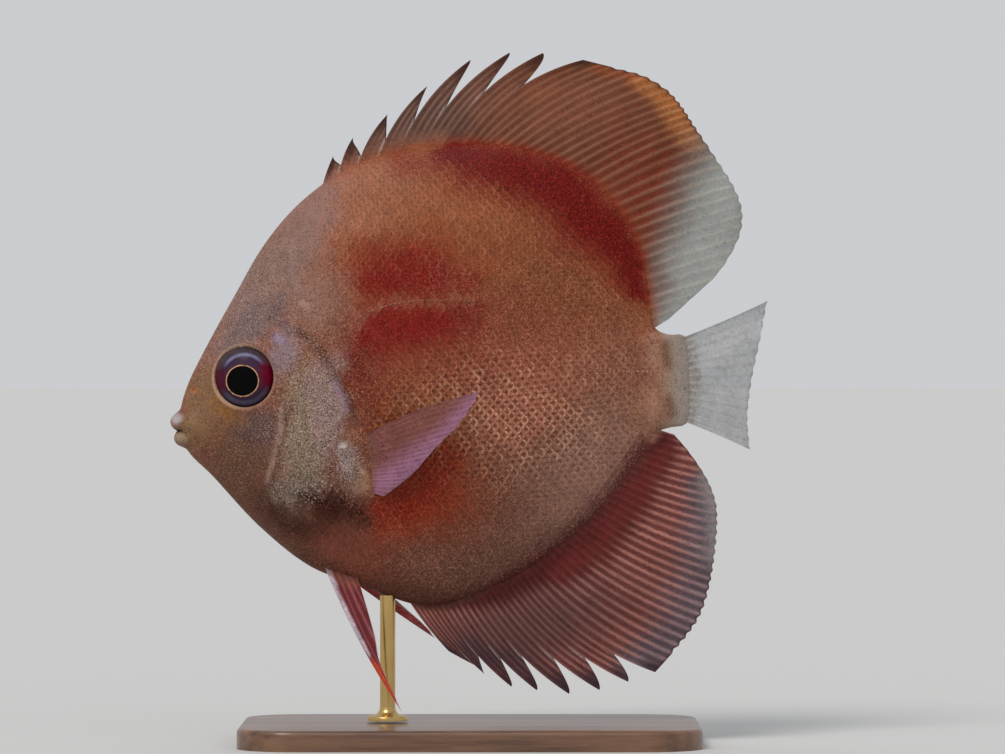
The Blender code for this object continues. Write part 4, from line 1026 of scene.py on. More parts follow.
def scale_places():
    """Level x and z of every scale of one side, staggered in rows, and its distance from the body's edge."""
    head_x, head_z = np.array(HEAD_END).T
    outline = np.array([body_edge(s)[:2] for s in edge_stations(lambda i: 1.0)])
    gill = rounded(GILL_COVER, GILL_STEPS)
    row, step = np.meshgrid(np.arange(*SCALE_ROWS), np.arange(SCALES_PER_ROW), indexing="ij")
    x = SCALES_FROM + SCALE_STEP * (step + 0.5 * (row % 2))
    z = SCALE_ROW * row + 0.25 * np.sin(x * 0.21 + row * 0.35)
    x = (x + 0.2 * np.sin(z * 0.33)).ravel()
    z = z.ravel()
    clear = x - np.interp(-z, -head_z, head_x) > CLEAR_OF_HEAD
    to_edge = distance_to_line(x, z, np.concatenate([outline, outline[:1]]))
    clear &= inside(x, z, outline) & (to_edge > CLEAR_OF_EDGE)
    clear &= ~(inside(x, z, gill) | (distance_to_line(x, z, gill) < CLEAR_OF_GILL))
    clear &= distance_to_line(x, z, FLESHY_BASE) > CLEAR_OF_BASE
    clear &= x < SCALES_END
    return np.stack([x[clear], z[clear]], axis=1), to_edge[clear]


def scales(name, side, tree, look):
    """One side's scales as small closed plates, each sunk at its root and lifted at its free edge."""
    places, to_edge = scale_places()
    chance = np.random.default_rng(11 if side < 0 else 12)
    points, faces, chance_map, bake_map, roots = [], [], [], [], []
    angles = np.arange(SCALE_SIDES) * math.tau / SCALE_SIDES
    ahead = np.where(np.cos(angles) < 0, SCALE_AHEAD, SCALE_BEHIND)
    ring = np.stack([np.cos(angles) * ahead, np.sin(angles) * SCALE_HALF], axis=1)
    local = ring / (SCALE_BEHIND, SCALE_HALF)
    on_scale = np.concatenate([[(0.0, 0.0)], local, local]) * 0.5 + 0.5
    rise = smooth_step(-SCALE_AHEAD, SCALE_BEHIND, ring[:, 0])
    to_level = np.linalg.inv(np.array(LEVEL.to_3x3()))
    corners = 2 * SCALE_SIDES + 1
    for (x, z), from_edge in zip(places, to_edge):
        hit, normal = on_skin(tree, x, z, side)
        if hit is None:
            continue
        middle = to_level @ (np.array(hit) - np.array(LEVEL.translation))
        normal = to_level @ np.array(normal)
        normal /= np.linalg.norm(normal)
        along = np.array((1.0, 0.0, 0.0)) - normal * normal[0]
        along /= np.linalg.norm(along)
        up = np.cross(normal, along) * side * -1
        size = (0.8 + 0.2 * min(1.0, from_edge / 6.0)) * chance.uniform(0.95, 1.05)
        lift = SCALE_LIFT * min(1.0, from_edge / 4.0) * chance.uniform(0.8, 1.2)
        rim = middle + size * (ring[:, :1] * along + ring[:, 1:] * up)
        top = rim + normal * (-SCALE_ROOT_SINK + (lift + SCALE_ROOT_SINK) * rise)[:, None]
        bottom = rim - normal * SCALE_UNDERSIDE
        crown = middle + normal * (lift * 0.25)
        first = len(points) * corners
        points.append(np.concatenate([[crown], top, bottom]))
        upper, lower = first + 1, first + 1 + SCALE_SIDES
        for k in range(SCALE_SIDES):
            after = (k + 1) % SCALE_SIDES
            faces.append((first, upper + k, upper + after))
            faces.append((upper + k, lower + k, lower + after, upper + after))
        faces.append(tuple(lower + k for k in reversed(range(SCALE_SIDES))))
        chance_map.append(np.tile(chance.uniform(0.0, 1.0, 2), (corners, 1)))
        bake_map.append(unwrap(middle[None], side) + (on_scale - 0.5) * SCALE_MAP_SIZE)
        roots.append(middle)
    maps = {
        "OFBake": np.concatenate(bake_map),
        "Scale": np.tile(on_scale, (len(roots), 1)),
        "Chance": np.concatenate(chance_map),
    }
    paint = painted(BODY_PAINT, *np.array(roots)[:, [0, 2]].T)
    paint = {layer: np.repeat(values, corners, axis=0) for layer, values in paint.items()}
    made = new_piece(name, np.concatenate(points), faces, [look], maps, paint)
    closed(made.data)
    made.data.set_sharp_from_angle(angle=math.radians(60.0))
    return finish_piece(made, "flank_skin")


def ray_points(roots, tips, bends, shares):
    """Points along rays that curve by so many degrees from root to tip: one row of points for each ray."""
    chord = tips - roots
    bow = np.stack([-chord[:, 1], chord[:, 0]], axis=1) * (0.5 * np.tan(np.radians(bends) / 2))[:, None]
    middle = (roots + tips) / 2 + bow
    t = shares[..., None]
    return roots[:, None] * (1 - t) ** 2 + middle[:, None] * 2 * t * (1 - t) + tips[:, None] * t**2


def lay_sheath(paint, points, out):
    """Carries the body's colours on to the root of a fin, out to where the share out is 1."""
    near = smooth_step(1.0, 0.15, out)[:, None]
    body = painted(BODY_PAINT[:1], points[:, 0], points[:, 2])
    paint["Skin"] += (body["Skin"] - paint["Skin"]) * near
    paint["Streak"] += (body["Skin"] * 1.2 - paint["Streak"]) * near


def fin_sheet(name, panels, look, slot, node, layers, sheath=0.0):
    """A closed fin from panels of columns, each with its points, half thickness, ray numbers and shares."""
    points, faces, ray_map, reach_map = [], [], [], []
    first = 0
    for middle, half, rays, shares in panels:
        columns, rows = middle.shape[:2]
        count = columns * rows
        number = first + np.arange(count).reshape(columns, rows)
        points += [(middle - half).reshape(-1, 3), (middle + half).reshape(-1, 3)]
        steps = np.linalg.norm(np.diff(middle, axis=1), axis=2)
        length = np.cumsum(np.concatenate([np.zeros((columns, 1)), steps], axis=1), axis=1)
        pair = np.stack([np.broadcast_to(rays[:, None], shares.shape), shares], axis=2).reshape(-1, 2)
        reach = np.stack([length, length[:, -1:] - length], axis=2).reshape(-1, 2) / REACH_UNIT
        ray_map += [pair, pair]
        reach_map += [reach, reach]
        a, b, c, d = number[:-1, :-1], number[1:, :-1], number[1:, 1:], number[:-1, 1:]
        faces += np.stack([a, b, c, d], axis=2).reshape(-1, 4).tolist()
        faces += (np.stack([a, d, c, b], axis=2).reshape(-1, 4) + count).tolist()
        border = np.concatenate([number[:, 0], number[-1, 1:], number[-2::-1, -1], number[0, -2:0:-1]])
        after = np.roll(border, -1)
        faces += np.stack([border, border + count, after + count, after], axis=1).tolist()
        first += 2 * count
    points = np.concatenate(points)
    maps = {"Rays": np.concatenate(ray_map), "Reach": np.concatenate(reach_map)}
    paint = painted(layers, points[:, 0], points[:, 2])
    if sheath:
        lay_sheath(paint, points, maps["Reach"][:, 0] * REACH_UNIT / sheath)
    made = new_piece(name, points, faces, [look], maps, paint)
    closed(made.data, FIN_MERGE)
    made.data.shade_smooth()
    made.data.set_sharp_from_angle(angle=math.radians(70.0))
    return finish_piece(made, slot, node)


def ray_half(rays, shares, sizes):
    """Half the thickness of a fin at these numbers of its rays, which are whole on a ray."""
    ray_root, ray_margin, skin_root, skin_margin = sizes
    from_ray = np.abs(rays - np.round(rays))
    ridge = np.exp(-((from_ray / RAY_WIDTH) ** 2))[:, None]
    ray = ray_root + (ray_margin - ray_root) * shares
    skin = skin_root + (skin_margin - skin_root) * shares
    return skin + (ray - skin) * ridge


def root_fillet(flat, roots):
    """What a fin gains in half thickness near its root."""
    return ROOT_FILLET[0] * np.exp(-np.linalg.norm(flat - roots[:, None], axis=2) / ROOT_FILLET[1])


def tapered(left, margin):
    """The share of its half thickness that a fin keeps, down to this share at its margin."""
    return np.minimum(1.0, margin + left * MARGIN_TAPER)


def upright(flat, y, half):
    """Points and half thickness of a fin that stands in the middle plane."""
    zero = np.zeros_like(half)
    return np.stack([flat[..., 0], y, flat[..., 1]], axis=2), np.stack([zero, half, zero], axis=2)


def soft_rays(count, depth, first=0):
    """Columns of soft rays: shares along the root, ray numbers, and shares of length, scalloped this deep."""
    along = np.linspace(0.0, 1.0, COLUMNS_PER_RAY * (count - 1) + 1)
    rays = first + along * (count - 1)
    scallop = 1 - depth * (1 - np.cos(rays * math.tau)) / 2
    return along, rays, np.outer(scallop, np.linspace(0.0, 1.0, FIN_ROWS))


def median_panel(stretch, root_shares, tips, bends, shares, rays):
    """One stretch of a fin of the middle plane, which follows the sway of the body at its root."""
    roots = stretch_of_edge(*stretch, root_shares, GAP - ROOT_SUNK)
    flat = ray_points(roots, tips, bends, shares)
    away = flat[..., 0] - roots[:, None, 0]
    y = sway(roots[:, 0])[:, None] + FINS_FOLLOW * sway_slope(roots[:, 0])[:, None] * away
    y = y + FIN_WAVES * np.sin(rays * 0.9)[:, None] * shares**2
    half = ray_half(rays, shares, MEDIAN_FIN_HALF) + root_fillet(flat, roots)
    half = half * tapered(1 - shares / shares[:, -1:], MEDIAN_MARGIN)
    return *upright(flat, y, half), rays, shares


def median_panels(stretch, spines, spines_share, soft_table, soft_count, fullnesses, turn):
    """A dorsal or anal fin: spines with the skin notched behind each tip, then soft rays. turn is 1 or -1."""
    rows = np.linspace(0.0, 1.0, FIN_ROWS)
    steps = (1 - np.cos(np.linspace(0.0, math.pi, COLUMNS_PER_SPINE))) / 2
    followers = (*spines[1:], (*soft_table[0][1:], LAST_NOTCH))
    panels = []
    for i, (spine, following, fullness) in enumerate(zip(spines, followers, fullnesses)):
        values = np.outer(1 - steps, spine) + np.outer(steps, following)
        margin = 1 - (1 - following[3]) * steps**fullness
        share = spines_share * (i + steps) / len(spines)
        shares = margin[:, None] * rows
        panels.append(median_panel(stretch, share, values[:, :2], turn * values[:, 2], shares, i + steps))
    along, rays, shares = soft_rays(soft_count, MEDIAN_SCALLOP, len(spines))
    values = smooth_table(soft_table, along)
    share = spines_share + (1 - spines_share) * along
    panels.append(median_panel(stretch, share, values[:, :2], turn * values[:, 2], shares, rays))
    return panels


def tail_panels():
    """The tail fin, which follows the sway of the body all along."""
    along, rays, shares = soft_rays(TAIL_RAY_COUNT, TAIL_SCALLOP)
    values = smooth_table(TAIL_RAYS, along)
    roots = stretch_of_edge(TAIL_FROM, TAIL_TO, along, GAP - ROOT_SUNK)
    flat = ray_points(roots, values[:, :2], values[:, 2], shares)
    half = ray_half(rays, shares, MEDIAN_FIN_HALF) + root_fillet(flat, roots)
    y = sway(flat[..., 0]) + TAIL_WAVES * np.sin(rays * 1.3)[:, None] * shares**2
    return [(*upright(flat, y, half * tapered(1 - shares, MEDIAN_MARGIN)), rays, shares)]


def paired_panels(side, root_line, root_y, table, ray_count, flare):
    """A pectoral or pelvic fin, which leaves the body sideways and turns to lie along it."""
    reach, turning = flare
    along, rays, shares = soft_rays(ray_count, PAIRED_SCALLOP)
    first, last = np.array(root_line)
    roots = first + along[:, None] * (last - first)
    values = smooth_table(table, along)
    flat = ray_points(roots, values[:, :2], values[:, 2], shares)
    ahead = values[:, :2] - roots
    length = np.linalg.norm(ahead, axis=1)
    fade = np.exp(-shares * length[:, None] / turning)
    slope = (ahead / length[:, None])[:, None, :] * (fade * reach / turning)[..., None]
    across = np.stack([-slope[..., 0], np.full(fade.shape, float(side)), -slope[..., 1]], axis=2)
    across /= np.linalg.norm(across, axis=2)[..., None]
    middle = np.stack([flat[..., 0], side * (root_y + reach * (1 - fade)), flat[..., 1]], axis=2)
    half = ray_half(rays, shares, PAIRED_FIN_HALF) * tapered(1 - shares, PAIRED_MARGIN)
    return [(middle, across * half[..., None], rays, shares)]


def eyeball(name, side, look):
    """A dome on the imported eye's own place, turned a little towards the snout."""
    low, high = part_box(f"eye_{name}")
    eye = LEVEL.inverted() @ ((low + high) / 2)
    axis = Vector((-math.sin(EYE_TURN), side * math.cos(EYE_TURN), 0.0))
    across = Vector((math.cos(EYE_TURN), side * math.sin(EYE_TURN), 0.0))
    points, faces = [eye + axis * EYE_DEPTH], []
    for i in range(1, EYE_RINGS):
        angle = math.pi * i / EYE_RINGS
        for k in range(EYE_SEGMENTS):
            turn = math.tau * k / EYE_SEGMENTS
            flat = across * math.cos(turn) + Vector((0.0, 0.0, math.sin(turn)))
            points.append(eye + axis * EYE_DEPTH * math.cos(angle) + flat * EYE_RADIUS * math.sin(angle))
    points.append(eye - axis * EYE_DEPTH)
    end = len(points) - 1
    for k in range(EYE_SEGMENTS):
        after = (k + 1) % EYE_SEGMENTS
        faces.append([0, 1 + k, 1 + after])
        faces.append([end, end - EYE_SEGMENTS + after, end - EYE_SEGMENTS + k])
        for a in range(1, 1 + (EYE_RINGS - 2) * EYE_SEGMENTS, EYE_SEGMENTS):
            b = a + EYE_SEGMENTS
            faces.append([a + k, b + k, b + after, a + after])
    made = new_piece(f"eyeball_{name}", np.array(points), faces, [look])
    closed(made.data)
    return finish_piece(made, "eye_gloss", f"eye_{name}")


def put(tree, socket, value):
    """Links a socket to an amount or an output, or sets it to a plain value."""
    if isinstance(value, Amount):
        value = value.socket
    if isinstance(value, bpy.types.NodeSocket):
        tree.links.new(value, socket)
    else:
        socket.default_value = value


def add_node(tree, kind, settings=None, **inputs):
    """A node of a kind, with its settings set first and then its sockets, _ for a space in their names."""
    node = tree.nodes.new(kind)
    for setting, value in (settings or {}).items():
        setattr(node, setting, value)
    for name, value in inputs.items():
        put(tree, node.inputs[name.replace("_", " ")], value)
    return node


class Amount:
    """A number that changes over a surface. Plain arithmetic on it adds Math nodes."""

    def __init__(self, look, socket):
        self.look = look
        self.socket = socket

    def __add__(self, other):
        return self.look.maths("ADD", self, other)

    def __sub__(self, other):
        return self.look.maths("SUBTRACT", self, other)

    def __rsub__(self, other):
        return self.look.maths("SUBTRACT", other, self)

    def __mul__(self, other):
        return self.look.maths("MULTIPLY", self, other)

    def __truediv__(self, other):
        return self.look.maths("DIVIDE", self, other)

    def __pow__(self, other):
        return self.look.maths("POWER", self, other)

    __radd__ = __add__
    __rmul__ = __mul__


class Look:
    """A material, and the few ways in which this model's patterns are drawn."""

    def __init__(self, name, **fixed):
        self.material = bpy.data.materials.new(name)
        self.material.use_nodes = True
        self.tree = self.material.node_tree
        self.shader = self.tree.nodes["Principled BSDF"]
        for socket, value in fixed.items():
            self.shader.inputs[socket.replace("_", " ")].default_value = value
        self.place = self.add(
            "ShaderNodeMapping",
            {},
            Vector=self.add("ShaderNodeTexCoord").outputs["Object"],
            Location=tuple(LEVEL.inverted().translation),
            Rotation=(0.0, NOSE_DOWN, 0.0),
            Scale=(1 / MM, 1 / MM, 1 / MM),
        ).outputs["Vector"]

    def add(self, kind, settings=None, **inputs):
        return add_node(self.tree, kind, settings, **inputs)

    def put(self, socket, value):
        put(self.tree, socket, value)

    def maths(self, operation, *values):
        node = self.add("ShaderNodeMath", {"operation": operation})
        for socket, value in zip(node.inputs, values):
            self.put(socket, value)
        return Amount(self, node.outputs[0])

    def parts(self, vector):
        """The three numbers of a vector."""
        return [Amount(self, part) for part in self.add("ShaderNodeSeparateXYZ", {}, Vector=vector).outputs]

    def step(self, value, low, high):
        """0 at low and 1 at high, smooth between."""
        settings = {"interpolation_type": "SMOOTHSTEP"}
        node = self.add("ShaderNodeMapRange", settings, Value=value, From_Min=low, From_Max=high)
        return Amount(self, node.outputs["Result"])

    def noise(self, size, detail=2.0, seed=0.0, roughness=0.5, vector=None):
        """Cloudy noise with features of this size in millimetres, from -0.5 to 0.5."""
        node = self.add(
            "ShaderNodeTexNoise",
            {"noise_dimensions": "4D"},
            Vector=vector or self.place,
            W=seed,
            Scale=1.0 / size,
            Detail=detail,
            Roughness=roughness,
        )
        return Amount(self, node.outputs["Fac"]) - 0.5

    def mix(self, share, first, second):
        node = self.add("ShaderNodeMix", {"data_type": "RGBA"})
        for number, value in ((0, share), (6, first), (7, second)):
            self.put(node.inputs[number], value)
        return node.outputs[2]

    def shade(self, colour, amount):
        """A colour made lighter or darker by an amount about 1."""
        node = self.add("ShaderNodeVectorMath", {"operation": "SCALE"}, Scale=amount)
        self.put(node.inputs[0], colour)
        return node.outputs[0]

    def paint(self, name):
        return self.add("ShaderNodeAttribute", {"attribute_name": name}).outputs["Vector"]

    def map_pair(self, name):
        return self.parts(self.add("ShaderNodeUVMap", {"uv_map": name}).outputs[0])[:2]

    def speckled(self, colour, fleck, strength, size, seed):
        """Pale and dark grains over a colour, and their height."""
        grain = self.noise(size, 2.0, seed, 0.7)
        colour = self.mix(self.step(grain, 0.0, 0.2) * strength, colour, fleck)
        return self.shade(colour, 1.0 - self.step(grain, 0.0, -0.2) * strength), grain

    def end(self, colour, roughness=None, height=None, depth=0.05, alpha=None):
        self.put(self.shader.inputs["Base Color"], colour)
        if roughness is not None:
            self.put(self.shader.inputs["Roughness"], roughness)
        if alpha is not None:
            self.put(self.shader.inputs["Alpha"], alpha)
        if height is not None:
            bump = self.add("ShaderNodeBump", {}, Strength=1.0, Distance=depth * MM, Height=height)
            self.put(self.shader.inputs["Normal"], bump.outputs["Normal"])
        return self.material


def skin_look():
    """The painted skin under fine grains, with the rim of the eye, the nostril and the mouth drawn sharp."""
    look = Look("fish skin", Specular_IOR_Level=0.14)
    grains, _, silver = look.parts(look.paint("Marks"))
    colour, fine = look.speckled(look.paint("Skin"), look.paint("Fleck"), grains, 0.23, 9.0)
    coarse = look.noise(1.6, 3.0, 4.0)
    colour = look.shade(colour, 1.0 + coarse * 0.5)
    x, _, z = look.parts(look.place)
    dx, dz = (x - EYE_AT[0]) / math.cos(EYE_TURN), z - EYE_AT[1]
    from_eye = (dx * dx + dz * dz) ** 0.5
    # Pale rim of the eye: its own colour, painted brighter towards the front and top as light on the lit side
    # of the fold
    front = look.step(dz * 0.5 - dx, -4.0, 4.0)
    rim = look.step(from_eye - front * 0.3, 5.2, 4.7) * look.step(from_eye, 4.5, 4.75)
    colour = look.mix(rim * (0.4 + front * 0.5), colour, tint("rim of the eye"))
    # The socket's walls round the eyeball are painted near black: painted shade
    colour = look.mix(look.step(from_eye, 4.78, 4.6), colour, tint("painted shade in the eye socket"))
    dx, dz = x - NOSTRIL_AT[0], z - NOSTRIL_AT[1]
    pit = look.step((dx * dx + dz * dz) ** 0.5, 0.75, 0.3)
    colour = look.mix(pit * 0.7, colour, tint("nostril"))
    return look.end(colour, 0.46 - silver * 0.1 + coarse * 0.15, fine * 0.6 + coarse * 0.5, 0.1)


def scale_look():
    """The painted skin's colours on scales with dark middles and pale free edges."""
    look = Look("fish scales", Specular_IOR_Level=0.14)
    grains, spots, ticks = look.parts(look.paint("Marks"))
    chance, other_chance = look.map_pair("Chance")
    across, up = look.map_pair("Scale")
    along, beside = (across - 0.5) * 2.0, (up - 0.5) * 2.0
    colour, fleck = look.paint("Skin"), look.paint("Fleck")
    fine = look.noise(0.3, 2.0, 9.0, 0.7)
    off, aside = look.maths("ABSOLUTE", along - 0.28), look.maths("ABSOLUTE", beside)
    away = off * (1.5 + ticks * 1.6) + aside * (1.5 - ticks * 0.5) + fine * 1.5 + (chance - 0.5) * 0.3
    spot = look.step(away, 0.98, 0.4)
    pale = look.mix(spots * 0.22, colour, fleck)
    bright = look.step(along + aside * 0.5 + fine * 2.0 + other_chance * 0.6, 1.1, 1.6)
    pale = look.mix(bright * spots * 0.7, pale, tint("free edge of a scale"))
    dark = look.mix(0.62, colour, tint("middle of a scale"))
    lattice = look.mix(spot * (0.8 + chance * 0.2), pale, dark)
    colour = look.mix(spots, colour, lattice)
    colour, grain = look.speckled(colour, fleck, grains, 0.23, 5.0)
    colour = look.shade(colour, 0.94 + chance * 0.14 + look.noise(2.4, 3.0, 4.0) * 0.4)
    return look.end(colour, 0.42 + chance * 0.1, grain, 0.05)


def eye_look():
    """The iris from the pupil out, its glints, the lid's shade, and the bright ring round the pupil."""
    look = Look("fish eye", Coat_Weight=0.08, Coat_Roughness=0.2, Roughness=0.4, Specular_IOR_Level=0.03)
    x, _, z = look.parts(look.place)
    across, up = (x - EYE_AT[0]) / math.cos(EYE_TURN), z - EYE_AT[1]
    off_level = look.maths("ABSOLUTE", up) * 0.3
    away = (across * across + up * up) ** 0.5
    streaks = look.noise(0.6, 3.0, 6.0)
    colour = look.mix(look.step(away, 2.4, 4.4), tint("iris at the pupil"), tint("iris at the rim"))
    rear = look.step(across - off_level, 1.2, 3.6)
    colour = look.mix(rear * 0.95, colour, tint("iris behind"))
    front = look.step(0.0 - across - off_level, 2.0, 4.0)
    colour = look.mix(front * 0.7, colour, tint("iris in front"))
    # The top of the iris darkened under the fold over it: painted shade
    lid = look.step(away, 3.6, 4.1) * look.step(up, 1.0, 2.8)
    colour = look.mix(lid * 0.6, colour, tint("lid"))
    # Pale crescent on top of the iris: a painted reflection
    top = look.step(away, 3.15, 3.5) * look.step(away, 4.0, 3.6) * look.step(up, 1.4, 3.0)
    colour = look.mix(top * 0.75, colour, tint("painted reflection on top of the iris"))
    # Paler crescent low in the iris: a painted reflection
    bottom = look.step(away, 3.4, 3.9) * look.step(away, 4.6, 4.2) * look.step(0.0 - up, 1.2, 3.0)
    colour = look.mix(bottom * 0.6, colour, tint("painted reflection below the iris"))
    colour = look.shade(colour, 1.0 + streaks * 0.8)
    px, pz = across - PUPIL_OFF[0], up - PUPIL_OFF[1]
    oval = (px * px / (PUPIL_RADII[0] ** 2) + pz * pz / (PUPIL_RADII[1] ** 2)) ** 0.5
    ring = look.step(oval, 0.99, 1.02) * look.step(oval + streaks * 0.16, 1.09, 1.03)
    colour = look.mix(ring * 0.95, colour, tint("ring of the pupil"))
    colour = look.mix(look.step(oval, 1.02, 0.97), colour, tint("pupil"))
    return look.end(colour)


def fin_look(name, spines, lines, clearness, tip_colour, ray_width):
    """A painted fin with streaks along its rays, and dark and pale lappets between the front spines."""
    look = Look(name, Specular_IOR_Level=0.12)
    ray = look.map_pair("Rays")[0]
    left = look.map_pair("Reach")[1] * REACH_UNIT
    strength, clear, _ = look.parts(look.paint("Marks"))
    fine = look.noise(0.4, 2.0, 9.0, 0.7)
    lines = lines + look.maths("LESS_THAN", ray, spines) * 2.0
    phase = look.maths("ABSOLUTE", look.maths("FRACT", ray * lines + 0.5) - 0.5)
    lane = look.add("ShaderNodeCombineXYZ", {}, X=ray).outputs["Vector"]
    uneven = look.noise(1.3, 1.0, 8.0, 0.5, lane)
    blotch = look.noise(1.3, 3.0, 3.0)
    on_ray = look.step(phase + fine * 0.9 + blotch * 0.3, ray_width, 0.02)
    shown = on_ray * strength * (1.0 + blotch * 1.6 + uneven * 1.6)
    colour = look.mix(shown, look.paint("Skin"), look.paint("Streak"))
    if spines:
        behind = look.maths("FRACT", ray)
        in_spines = look.step(ray, spines + 0.1, spines - 0.1)
        in_front = look.step(ray, spines - 1.0, spines - 1.2)
        pale = look.step(behind, 0.82, 0.96) * in_front * look.step(left, 4.5, 1.2)
        colour = look.mix(pale * 0.5, colour, tint("pale lappet"))
        tip = look.step(left + fine, 4.2, 0.8) * in_spines * look.step(behind, 0.6, 0.3)
        colour = look.mix(tip * 0.8, colour, tip_colour)
    edge = look.step(left + fine * 0.3, 0.5, 0.15) * (1.0 - clear * 0.7)
    colour = look.mix(edge * 0.55, colour, tip_colour)
    colour = look.shade(colour, 1.0 + fine * 1.8 + look.noise(3.5, 3.0, 4.0) * 0.6)
    alpha = 1.0 - clear * (clearness - on_ray * 0.18)
    if spines:
        alpha = alpha - pale * 0.3
    return look.end(colour, 0.45, fine + on_ray * 0.5, 0.04, alpha)


def wood_look():
    """Stained walnut, with its grain along the board."""
    look = Look("stained walnut", Coat_Weight=0.35, Coat_Roughness=0.18)
    level = look.add("ShaderNodeMapping", {}, Vector=look.place, Rotation=(0.0, -NOSE_DOWN, 0.0))
    lie = {"Rotation": (0.0, 0.0, 0.03), "Scale": (0.07, 1.0, 1.0)}
    grain = look.add("ShaderNodeMapping", {}, Vector=level.outputs["Vector"], **lie).outputs["Vector"]
    figure = look.step(look.noise(5.0, 2.0, 1.0, 0.5, grain), -0.16, 0.16)
    streaks = look.noise(1.1, 4.0, 3.0, 0.6, grain)
    pores = look.noise(0.2, 1.0, 2.0, 0.5, grain)
    colour = look.mix(look.step(figure * 0.4 + streaks, -0.1, 0.5), tint("dark walnut"), tint("light walnut"))
    colour = look.shade(colour, 1.0 + pores * 0.5)
    return look.end(colour, 0.42 + streaks * 0.15, pores, 0.02)


def brass_look():
    """Satin brass, with the fine rings of turning and a little tarnish."""
    look = Look("satin brass", Metallic=1.0)
    turned = look.add("ShaderNodeCombineXYZ", {}, X=look.parts(look.place)[2]).outputs["Vector"]
    brush = look.noise(0.12, 2.0, 2.0, 0.6, turned)
    tarnish = look.noise(2.5, 3.0, 5.0)
    colour = look.mix(0.5 + tarnish, tint("dark brass"), tint("light brass"))
    return look.end(colour, 0.3 + brush * 0.1 + tarnish * 0.1, brush, 0.02)


def stand_base(look):
    """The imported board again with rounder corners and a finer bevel."""
    low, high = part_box("stand_base")
    bpy.ops.mesh.primitive_cube_add(size=1.0)
    board = bpy.context.object
    board.name = board.data.name = "base_board"
    size, middle = high - low, (high + low) / 2
    board.data.transform(Matrix.Translation(middle) @ Matrix.Diagonal((*size, 1.0)))
    bm = bmesh.new()
    bm.from_mesh(board.data)
    round_off = partial(bmesh.ops.bevel, bm, offset_type="OFFSET", profile=0.5, affect="EDGES")
    corners = [e for e in bm.edges if abs(e.verts[0].co.z - e.verts[1].co.z) > size.z / 2]
    round_off(geom=corners, offset=BASE_CORNER * MM, segments=18)
    top = [e for e in bm.edges if all(v.co.z > middle.z for v in e.verts)]
    round_off(geom=top, offset=BASE_BEVEL * MM, segments=5)
    bm.to_mesh(board.data)
    bm.free()
    board.data.materials.append(look)
    board.data.shade_smooth()
    board.data.set_sharp_from_angle(angle=math.radians(40.0))
    return finish_piece(board, "base_wood", "stand_base")


def stand_rod(look):
    """A turned rod on a small foot, up into the keel."""
    low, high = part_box("stand_rod")
    middle = (low + high) / 2
    foot = high.x - middle.x
    top = high.z - low.z - ROD_SHORT * MM
    profile = [(0.0, 0.0), (foot, 0.0)]
    profile += [(foot - inward * MM, up * MM) for inward, up in ROD_FOOT]
    profile += [(radius * MM, up * MM) for radius, up in ROD_NECK]
    profile += [(profile[-1][0], top), (0.0, top)]
    points, faces = [], []
    for k in range(ROD_SIDES):
        cos, sin = math.cos(math.tau * k / ROD_SIDES), math.sin(math.tau * k / ROD_SIDES)
        points += [(middle.x + r * cos, middle.y + r * sin, low.z + z) for r, z in profile]
    count = len(profile)
    for k in range(ROD_SIDES):
        a, b = k * count, (k + 1) % ROD_SIDES * count
        faces += [(a + i, b + i, b + i + 1, a + i + 1) for i in range(count - 1)]
    mesh = bpy.data.meshes.new("support_rod")
    mesh.from_pydata(points, [], faces)
    rod = bpy.data.objects.new("support_rod", mesh)
    bpy.context.scene.collection.objects.link(rod)
    closed(mesh, ROD_MERGE)
    mesh.materials.append(look)
    mesh.shade_smooth()
    mesh.set_sharp_from_angle(angle=math.radians(35.0))
    return finish_piece(rod, "rod_metal", "stand_rod")


def outward(shape):
    """A closed shape with every face turned outwards."""
    points, faces = shape
    bm = bmesh.new()
    corners = [bm.verts.new(p) for p in points]
    for face in faces:
        bm.faces.new([corners[k] for k in face])
    bm.verts.index_update()
    bmesh.ops.recalc_face_normals(bm, faces=bm.faces)
    turned = [[v.index for v in face.verts] for face in bm.faces]
    bm.free()
    return points, turned


def distance_field(shape):
    """For a closed shape, how far a point lies outside its surface, and which way is out."""
    tree = BVHTree.FromPolygons([Vector(p) for p in shape[0]], shape[1])

    def measure(point):
        near, normal, _, away = tree.find_nearest(point)
        out = point - near
        sign = -1.0 if out.dot(normal) < 0 else 1.0
        return sign * away, normal if away < 0.0001 else out * (sign / away)

    return measure


def blended(body, lips, reach):
    """The body and its lips, moved near the mouth on to one surface that joins them with a soft fillet."""
    shapes = [outward(shape) for shape in (body, *lips)]
    fields = [distance_field(shape) for shape in shapes]
    for i, (points, _) in enumerate(shapes):
        others = fields[:1] if i else fields[1:]
        for v in np.nonzero(np.abs(points - MOUTH_MIDDLE).max(axis=1) < MOUTH_NEAR)[0]:
            start = Vector(points[v])
            depth = min(field(start)[0] for field in others)
            place = start.copy()
            for _ in range(4 if -reach < depth < reach else 0):
                own, own_way = fields[i](place)
                other, other_way = min((field(place) for field in others), key=lambda found: found[0])
                near = max(0.0, reach - abs(own - other)) / reach
                share = near / 2 if other < own else 1 - near / 2
                slope = own_way * share + other_way * (1 - share)
                height = min(own, other) - near * near * reach / 4
                place -= slope * (height / max(slope.length_squared, 0.25))
            share = smooth_step(-0.9 * reach, -0.3 * reach, depth) * smooth_step(reach, LIP_FREE, depth)
            points[v] = start.lerp(place, float(share))
    return shapes


